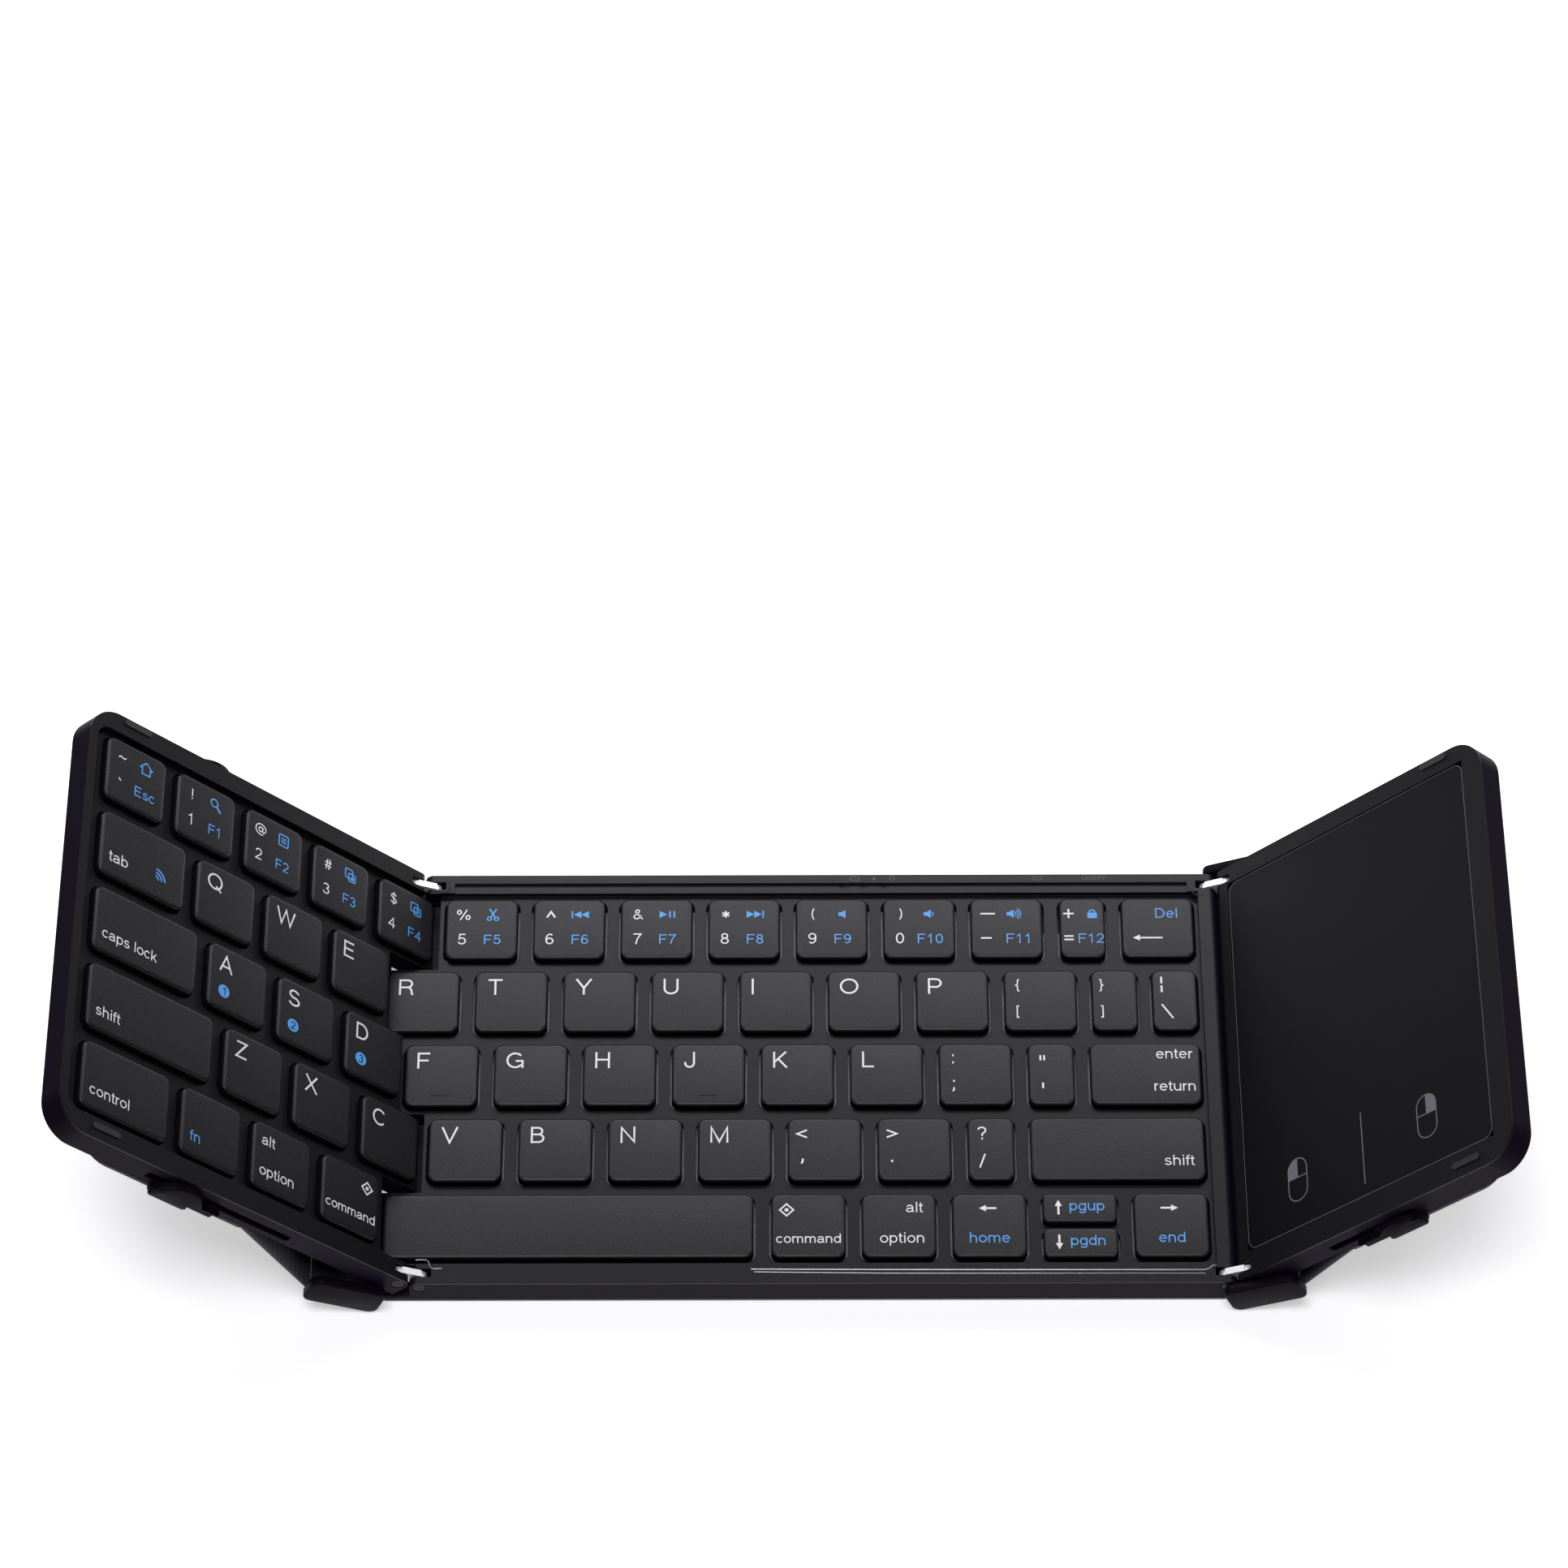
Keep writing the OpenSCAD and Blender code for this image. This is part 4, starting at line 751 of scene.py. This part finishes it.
for node, row, items, wing in KEYS:
    V, F = [], []
    body = node + "_body"
    M = ML if wing else I4
    WING[body] = M
    for x, w, spec in items:
        y1 = row_rear(row)
        slab(V, F, x, y1 - CD, x + w, y1, 1.9, PROF)
        legend(body, x, y1, w, spec)
        if spec and spec[0] == "letter" and spec[1] in "FJ":
            slab(V, F, x + 5.6, y1 - 12.35, x + 9.2, y1 - 11.85, 0.24, [(0, 7.28), (0.02, 7.36), (0.14, 7.43)], 3)
    shade_cap_sides(make(node + "_caps", V, F, M_KEY, M, body, angle=50, replaces=(node,)), M)

HD = (CD - 1.0) / 2
XP = X5 + 120.98
for node, dy, ic, word in (("up_arrow_key", HD + 1.0, "up", "pgup"), ("down_arrow_key", 0, "down", "pgdn")):
    V, F = [], []
    body = node + "_body"
    WING[body] = I4
    y = row_rear(4) - CD + dy
    slab(V, F, XP, y, XP + CW, y + HD, 1.3, PROF)
    shade_cap_sides(make(node + "_caps", V, F, M_KEY, I4, body, angle=50, replaces=(node,)), I4)
    icon(body, ic, XP + 3.2, y + HD / 2, "white", 0.95)
    text(body, "blue", word, XP + 8.9, y + HD / 2 - 0.75, 2.3, "BC")

# touchpad marks
WING["right_wing"] = MR
WING["centre"] = I4
ZPAD = ZT - 0.3
PADX0, PADX1, PADY0, PADY1 = XR + 4.0, XR + 66.9, YF + 5.5, YR - 4.1


G = Art()
zz = ZPAD + 0.012
for side, u in (("l", 16.4), ("r", 49.7)):
    cx, cy = XR + u + 1.4, Y0 - (74.0 if side == "l" else 73.6)
    pts = []
    for cyy, a0 in ((cy + 2.3, 0), (cy - 2.3, 180)):
        pts += [(cx + 2.4 * math.cos(math.radians(a0 + 180 * i / 14)), cyy + 2.4 * math.sin(math.radians(a0 + 180 * i / 14))) for i in range(15)]
    G.path(pts, 0.24, zz, True)
    G.line((cx - 2.4, cy + 0.5), (cx + 2.4, cy + 0.5), 0.22, zz)
    G.line((cx, cy + 0.5), (cx, cy + 4.6), 0.22, zz)
    q = -1 if side == "l" else 1
    fill = [(cx, cy + 0.5), (cx + q * 2.3, cy + 0.5), (cx + q * 2.3, cy + 2.3)]
    fill += [(cx + q * 2.3 * math.cos(math.radians(90 * i / 8)), cy + 2.3 + 2.3 * math.sin(math.radians(90 * i / 8))) for i in range(1, 9)]
    G.poly(fill if q > 0 else fill[::-1], zz)
G.line((XR + 34.7, Y0 - 65.9), (XR + 34.7, Y0 - 82.0), 0.24, zz)
make("touchpad_marks", G.V, G.F, M_GREY, MR, "right_wing", smooth=False)
G = Art()
G.path(rr(PADX0 + 0.3, PADY0 + 0.25, PADX1 - 0.3, PADY1 - 0.3, 2.1, 8), 0.10, ZPAD + 0.02, True)
make("touchpad_outline", G.V, G.F, M_GREY, MR, "right_wing", smooth=False)

# lettering, made into meshes
for cx, kind in ((7.0, "cell"), (44.9, "cell"), (14.8, "ring")):
    A = art("centre", "faint")
    if kind == "cell":
        A.path(rr(cx - 0.9, 46.6, cx + 0.9, 47.4, 0.15, 2), 0.14, ZA - 0.1, True)
    else:
        A.ring(cx, 47.0, 0.45, 0.14, ZA - 0.1)
text("centre", "faint", "A", 11.0, 46.55, 0.95, "BC", 0.14, -0.1)
text("centre", "faint", "ON/OFF", 56.6, 46.55, 0.95, "BC", 0.12, -0.1)
COL = {"white": M_WHITE, "blue": M_BLUE, "dark": M_KEY, "faint": M_FAINT}
for (body, col), A in ARTS.items():
    if A.F:
        make(body.replace("_body", "") + "_legend_" + col, A.V, A.F, COL[col], WING[body], body, smooth=False)

# ---------------------------------------------------------------- rims and small details of the centre
V, F = [], []
# two ridges along the front rim, right of the space bar; the rear one turns up at its end. Their light grey is painted
# highlight on the black rim, and their gloss also reflects the lamps
zb = 7.05
rod(V, F, [(X5 + 62.4, -44.75, 6.9), (X5 + 63.6, -44.8, zb), (X5 + 90, -44.95, zb), (X5 + 152.6, -45.15, zb), (X5 + 153.6, -44.9, zb), (X5 + 154.2, -44.3, zb), (X5 + 155.2, -44.0, zb - 0.1), (X5 + 155.9, -43.3, zb - 0.3)], 0.23, 12)
rod(V, F, [(X5 + 62.6, -45.35, 6.9), (X5 + 63.8, -45.4, zb), (X5 + 90, -45.75, zb), (X5 + 152.8, -45.95, zb), (X5 + 154.2, -45.8, zb - 0.3)], 0.17, 10)
# the glossy corner of the rim beside the left hinge, drawn as a light grey rod: painted highlight
rod(V, F, [(-80.6, -42.55, 7.0), (-79.6, -42.5, 7.1), (-78.5, -42.55, 7.1), (-78.05, -42.9, 7.1), (-77.7, -44.1, 7.1), (-77.2, -44.5, 7.1), (-75.6, -44.5, 7.1), (-74.6, -44.2, 7.0)], 0.13, 10)
make("front_ridge", V, F, M_RIDGE_HIGHLIGHT, I4, "centre")
V, F = [], []
# raised lips round the link pockets of the rear rim
rod(V, F, [(-76.7, 46.7, 6.9), (-76.65, 45.0, 6.95), (-76.75, 44.3, 6.95), (-77.3, 43.85, 6.95), (-79.0, 43.75, 6.95), (-80.6, 43.75, 6.9)], 0.33, 12)
rod(V, F, [(76.4, 44.9, 6.85), (76.45, 44.1, 6.95), (76.9, 43.3, 6.95), (77.6, 42.9, 6.95), (79.0, 42.6, 6.95)], 0.30, 12)
make("rear_lips", V, F, M_FRAME, I4, "centre")
# a near-black cross in every screw head: painted shade standing for its cross recess
for side, xh, M in (("left", XL, ML_LINK), ("right", XR, MR_LINK)):
    V, F = [], []
    for x in (xh - PG / 2, xh + PG / 2):
        for y, q in ((YF + 0.05, -1), (YR - 0.05, 1)):
            for dx, dz in ((0.62, 0.13), (0.13, 0.62)):
                W = [(x - dx, ZP - dz), (x + dx, ZP - dz), (x + dx, ZP + dz), (x - dx, ZP + dz)]
                stack([[(a, y - q * 0.1, c) for a, c in W], [(a, y + q * 0.015, c) for a, c in W]], V, F)
    make(side + "_screw_recess_shade", V, F, M_RECESS_SHADE, M, side + "_link", smooth=False)

# ---------------------------------------------------------------- cover
def cloth_plate(name, M, x0, x1, y0, y1, z0, z1, r_out, body, outward, notch=None, replaces=()):
    """A thin panel with rounded free corners and soft edges. outward: +1 if the free end is at x1."""
    e = 0.28
    def outline(i):
        a, b, c, d = x0 + i, x1 - i, y0 + i, y1 - i
        r = max(r_out - i, 0.3)
        rs = max(0.5 - i, 0.2)
        if outward > 0:
            return poly_round([(a, c), (b, c), (b, d), (a, d)], [rs, r, r, rs], 8)
        return poly_round([(a, c), (b, c), (b, d), (a, d)], [r, rs, rs, r], 8)
    V, F = [], []
    prof = [(e, z0), (e * 0.3, z0 + e * 0.3), (0, z0 + e), (0, z1 - e), (e * 0.3, z1 - e * 0.3), (e, z1)]
    stack([[(p[0], p[1], z) for p in outline(i)] for i, z in prof], V, F)
    return make(name, V, F, M_CLOTH, M, body, angle=60, replaces=replaces)


LC, RC = 36.54, 22.93
lp = cloth_plate("left_cover_outer", ML, WLX - LC - 40.9, WLX - LC - 0.05, YF, YR, 0, 1.25, 7, "left_cover_panels", -1, replaces=("left_outer_panel",))
rp = cloth_plate("right_cover_outer", MR, WRX + RC + 0.05, WRX + RC + 40.0, YF, YR, 0, 1.25, 7, "right_cover_panels", 1, replaces=("right_panel",))


def flex(name, side, crease_s, pu, th, body, node):
    """The bendable panel between a spine's end and the crease, gently curved."""
    b = th / 2
    M = ML if side < 0 else MR
    u = pu + 12.35 * math.cos(b) + (1.95 - 0.625) * math.sin(b) + PG / 2 - PG * math.cos(b)
    v = 1.95 - ZP + 12.35 * math.sin(b) - (1.95 - 0.625) * math.cos(b) - PG * math.sin(b)
    s = u * math.cos(th) + v * math.sin(th)
    d = u * math.sin(th) - v * math.cos(th)
    mid = ZP - 0.625
    n = 26
    V, F = [], []
    cen = []
    for i in range(n + 1):
        t = i / n
        q = crease_s + (s + 0.2 - crease_s) * t
        cen.append((q, -(mid + (d - mid) * t)))
    rings = []
    for i, (q, z) in enumerate(cen):
        a, c = cen[max(i - 1, 0)], cen[min(i + 1, n)]
        dx, dz = c[0] - a[0], c[1] - a[1]
        L = math.hypot(dx, dz)
        nx, nz = -dz / L, dx / L
        h = 0.6
        wx = WLX - q if side < 0 else WRX + q
        sx = -1 if side < 0 else 1
        ring = []
        for yy, hh in ((YF + 0.15, -0.3), (YF + 0.45, -0.6), (YR - 0.45, -0.6), (YR - 0.15, -0.3), (YR - 0.15, 0.3), (YR - 0.45, 0.6), (YF + 0.45, 0.6), (YF + 0.15, 0.3)):
            ring.append((wx + sx * nx * hh, yy, ZP + z + nz * hh))
        rings.append(ring)
    stack(rings, V, F)
    ob = make(name, V, F, M_CLOTH, M, body, angle=60, replaces=(node,))
    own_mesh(ob)
    return ob


flex("left_cover_inner", -1, LC, 7.85, TL, "left_cover_panels", "left_inner_panel")
flex("right_cover_strip", 1, RC, 0.6, TR, "right_cover_panels", "right_fold_strip")

# base cover with soft edges
V, F = [], []
slab(V, F, PLX + 2.55, YF, PRX - 2.55, YR, 0.6, [(0.3, 0), (0.08, 0.1), (0, 0.35), (0, 0.95), (0.1, 1.15), (0.3, 1.25)], 4)
slab(V, F, XL + 4, YF + 3, XR - 4, YR - 3, 0.6, [(0, 1.2), (0, 1.5)], 4)
make("base_cover_cloth", V, F, M_CLOTH, I4, "centre", angle=60, replaces=("base_cover",))


def spine(name, M, px, s, body, node):
    V, F = [], []
    arc_in = [(1.93 * math.cos(math.radians(t)), 1.95 + 1.93 * math.sin(math.radians(t))) for t in range(270, 179, -9)]
    prof = arc_in + poly_round([(-1.93, 4.0), (-1.9, 7.55), (13.5, 7.55), (13.45, 0.02), (2.0, 0.02)], [0, 2.2, 2.4, 1.6, 0], 8)
    prof = prof[::-1]
    prof = [(px + s * u, z) for u, z in prof]
    if s < 0:
        prof = prof[::-1]
    for ya, yb in ((YR + 0.35, YR + 2.45), (YF - 0.35, YF - 2.45)):
        extrude_y(V, F, prof, ya, yb, 0.35)
    plate = [(1.93 * math.cos(math.radians(t)), 1.95 + 1.93 * math.sin(math.radians(t))) for t in range(270, 203, -6)]
    plate = (plate + poly_round([(-1.76, 1.23), (11.9, 1.23), (11.9, 0.02), (0.5, 0.02)], [0, 0.3, 0.3, 0], 4))[::-1]
    plate = [(px + s * u, z) for u, z in plate]
    if s < 0:
        plate = plate[::-1]
    W, H = [], []
    extrude_y(W, H, plate, YF - 0.35, YR + 0.35, 0.05)
    make(name + "_plate", W, H, M_CLOTH, M, body, angle=50)
    make(name + "_blocks", V, F, M_TRIM, M, body, angle=50, replaces=(node,))


spine("left_spine_piece", MSL, PLX, -1, "left_cover_spine", "left_spine")
spine("right_spine_piece", MSR, PRX, 1, "right_cover_spine", "right_spine")


def clips(name, M, xc, s, body, node, h):
    """Each clip: a low base on the panel with a rounded tab of height h that reaches up the wing's side and a hook."""
    V, F = [], []
    # side view: u outward from the clip's middle; the tab's top is an arc of radius 6 about u = 1.8
    r, cz = 5.97, h - 6
    hump = []
    a0, a1 = math.asin((3.15 - cz) / r), math.pi - math.asin((3.15 - cz) / r)
    for i in range(25):
        t = a0 + (a1 - a0) * i / 24
        hump.append((1.8 + r * math.cos(t), cz + r * math.sin(t)))
    prof = poly_round([(-7.85, 0.03), (7.85, 0.03), (7.85, 3.15)], [0.7, 0.7, 0.5], 6) + hump + poly_round([(-7.85, 3.15), (-7.85, 2.2)], [0, 0], 2)[:1]
    prof = [(xc + s * u, z) for u, z in prof]
    if s < 0:
        prof = prof[::-1]
    for ya, q in ((YR + 0.32, 1), (YF - 0.32, -1)):
        rings = []
        cx = sum(p[0] for p in prof) / len(prof)
        for i, off in ((0.0, 0.0), (0.0, 1.1), (0.12, 1.36), (0.3, 1.46)):
            rings.append([(cx + (x - cx) * (1 - i / 9.0), ya + q * off, 2.6 + (z - 2.6) * (1 - i / 3.0)) for x, z in prof])
        stack(rings, V, F)
        W = rr(xc - 3, 2.95, xc + 3, 4.25, 0.3, 4)
        stack([[(x, ya - q * 2.1, z) for x, z in W], [(x, ya + q * 0.4, z) for x, z in W]], V, F)
        W = rr(xc - 7.85, 0.05, xc + 7.85, 1.2, 0.3, 4)
        stack([[(x, ya - q * 3.2, z) for x, z in W], [(x, ya + q * 0.3, z) for x, z in W]], V, F)
    make(name, V, F, M_TRIM, M, body, angle=50, replaces=(node,))


clips("left_clip_tabs", ML, WLX - 52.2, -1, "left_cover_panels", "left_slide_clips", 6.4)
clips("right_clip_tabs", MR, WRX + 34.4, 1, "right_cover_panels", "right_slide_clips", 4.9)

# ---------------------------------------------------------------- materials of the CAD nodes that show
SLOT = {"centre_shell": M_SHELL, "left_shell": M_SHELL, "right_shell": M_SHELL, "centre_frame": M_FRAME, "left_frame": M_FRAME,
        "right_frame": M_FRAME, "touchpad_panel": M_PAD, "touchpad_board": M_PCB, "main_board": M_PCB, "battery": M_CELL,
        "centre_switch_sheet": M_FILM, "left_switch_sheet": M_FILM, "charging_port": M_PORT, "power_switch": M_TRIM,
        "indicator_lights": M_LENS, "left_hinge_links": M_LINK_GLARE, "right_hinge_links": M_LINK_GLARE, "left_hinge_pins": M_STEEL,
        "right_hinge_pins": M_STEEL, "left_bumpers": M_RUBBER, "right_bumpers": M_RUBBER}
for n, o in NODES.items():
    if not o.hide_render and n in SLOT:
        o.data.materials.clear()
        o.data.materials.append(SLOT[n])

# ---------------------------------------------------------------- floor, light, camera
fl = bpy.data.meshes.new("floor")
fl.from_pydata([(-0.27, -0.24, -0.0002), (0.27, -0.24, -0.0002), (0.27, 0.37, -0.0002), (-0.27, 0.37, -0.0002)], [], [(0, 1, 2, 3)])
fl.materials.append(M_FLOOR)
floor = bpy.data.objects.new("floor", fl)
bpy.context.scene.collection.objects.link(floor)


def area(name, loc, target, size, power, size_y=None, color=(1, 1, 1)):
    li = bpy.data.lights.new(name, "AREA")
    li.energy = power
    li.color = color
    li.shape = "RECTANGLE"
    li.size = size
    li.size_y = size_y or size
    ob = bpy.data.objects.new(name, li)
    ob.location = loc
    ob.rotation_mode = "QUATERNION"
    ob.rotation_quaternion = (Vector(target) - Vector(loc)).to_track_quat("-Z", "Y")
    bpy.context.scene.collection.objects.link(ob)
    return ob


area("rear_soft", (0.0, 1.34, 1.48), (0, 0, 0), 1.5, 3.0, 0.9, color=(0.98, 0.965, 1.0))
area("rear_near", (0.0, 0.37, 0.37), (0, 0.03, 0), 0.80, 2.25, 0.16, color=(0.97, 0.955, 1.0))
area("top_front", (-0.15, -0.38, 1.88), (0, 0, 0), 1.0, 19.0, 0.7, color=(0.99, 0.97, 1.0))
area("left_soft", (-1.55, 1.05, 0.35), (0, 0, 0), 0.9, 0.3, 0.5)
area("right_soft", (1.55, 1.05, 0.35), (0, 0, 0), 0.9, 0.3, 0.5)
area("front_low", (0.0, -1.7, 0.5), (0, 0, 0), 1.6, 0.5, 0.5)

w = bpy.data.worlds.new("studio")
w.use_nodes = True
w.node_tree.nodes["Background"].inputs[0].default_value = (0.93, 0.90, 1, 1)
w.node_tree.nodes["Background"].inputs[1].default_value = 0.06
bpy.context.scene.world = w

cam = bpy.data.cameras.new("camera")
cam.sensor_width = 36
cam.lens = 124.08
cam.clip_start = 0.05
cam.clip_end = 20
camo = bpy.data.objects.new("camera", cam)
camo.location = (-0.00716, -0.56110, 0.94621)
camo.rotation_mode = "QUATERNION"
el, az, roll = math.radians(56.068), math.radians(-0.036), math.radians(0.16)
camo.rotation_quaternion = (Matrix.Rotation(-az, 4, "Z") @ Matrix.Rotation(math.pi / 2 - el, 4, "X") @ Matrix.Rotation(-roll, 4, "Z")).to_quaternion()
bpy.context.scene.collection.objects.link(camo)
bpy.context.scene.camera = camo
bpy.context.scene.view_settings.view_transform = "Standard"
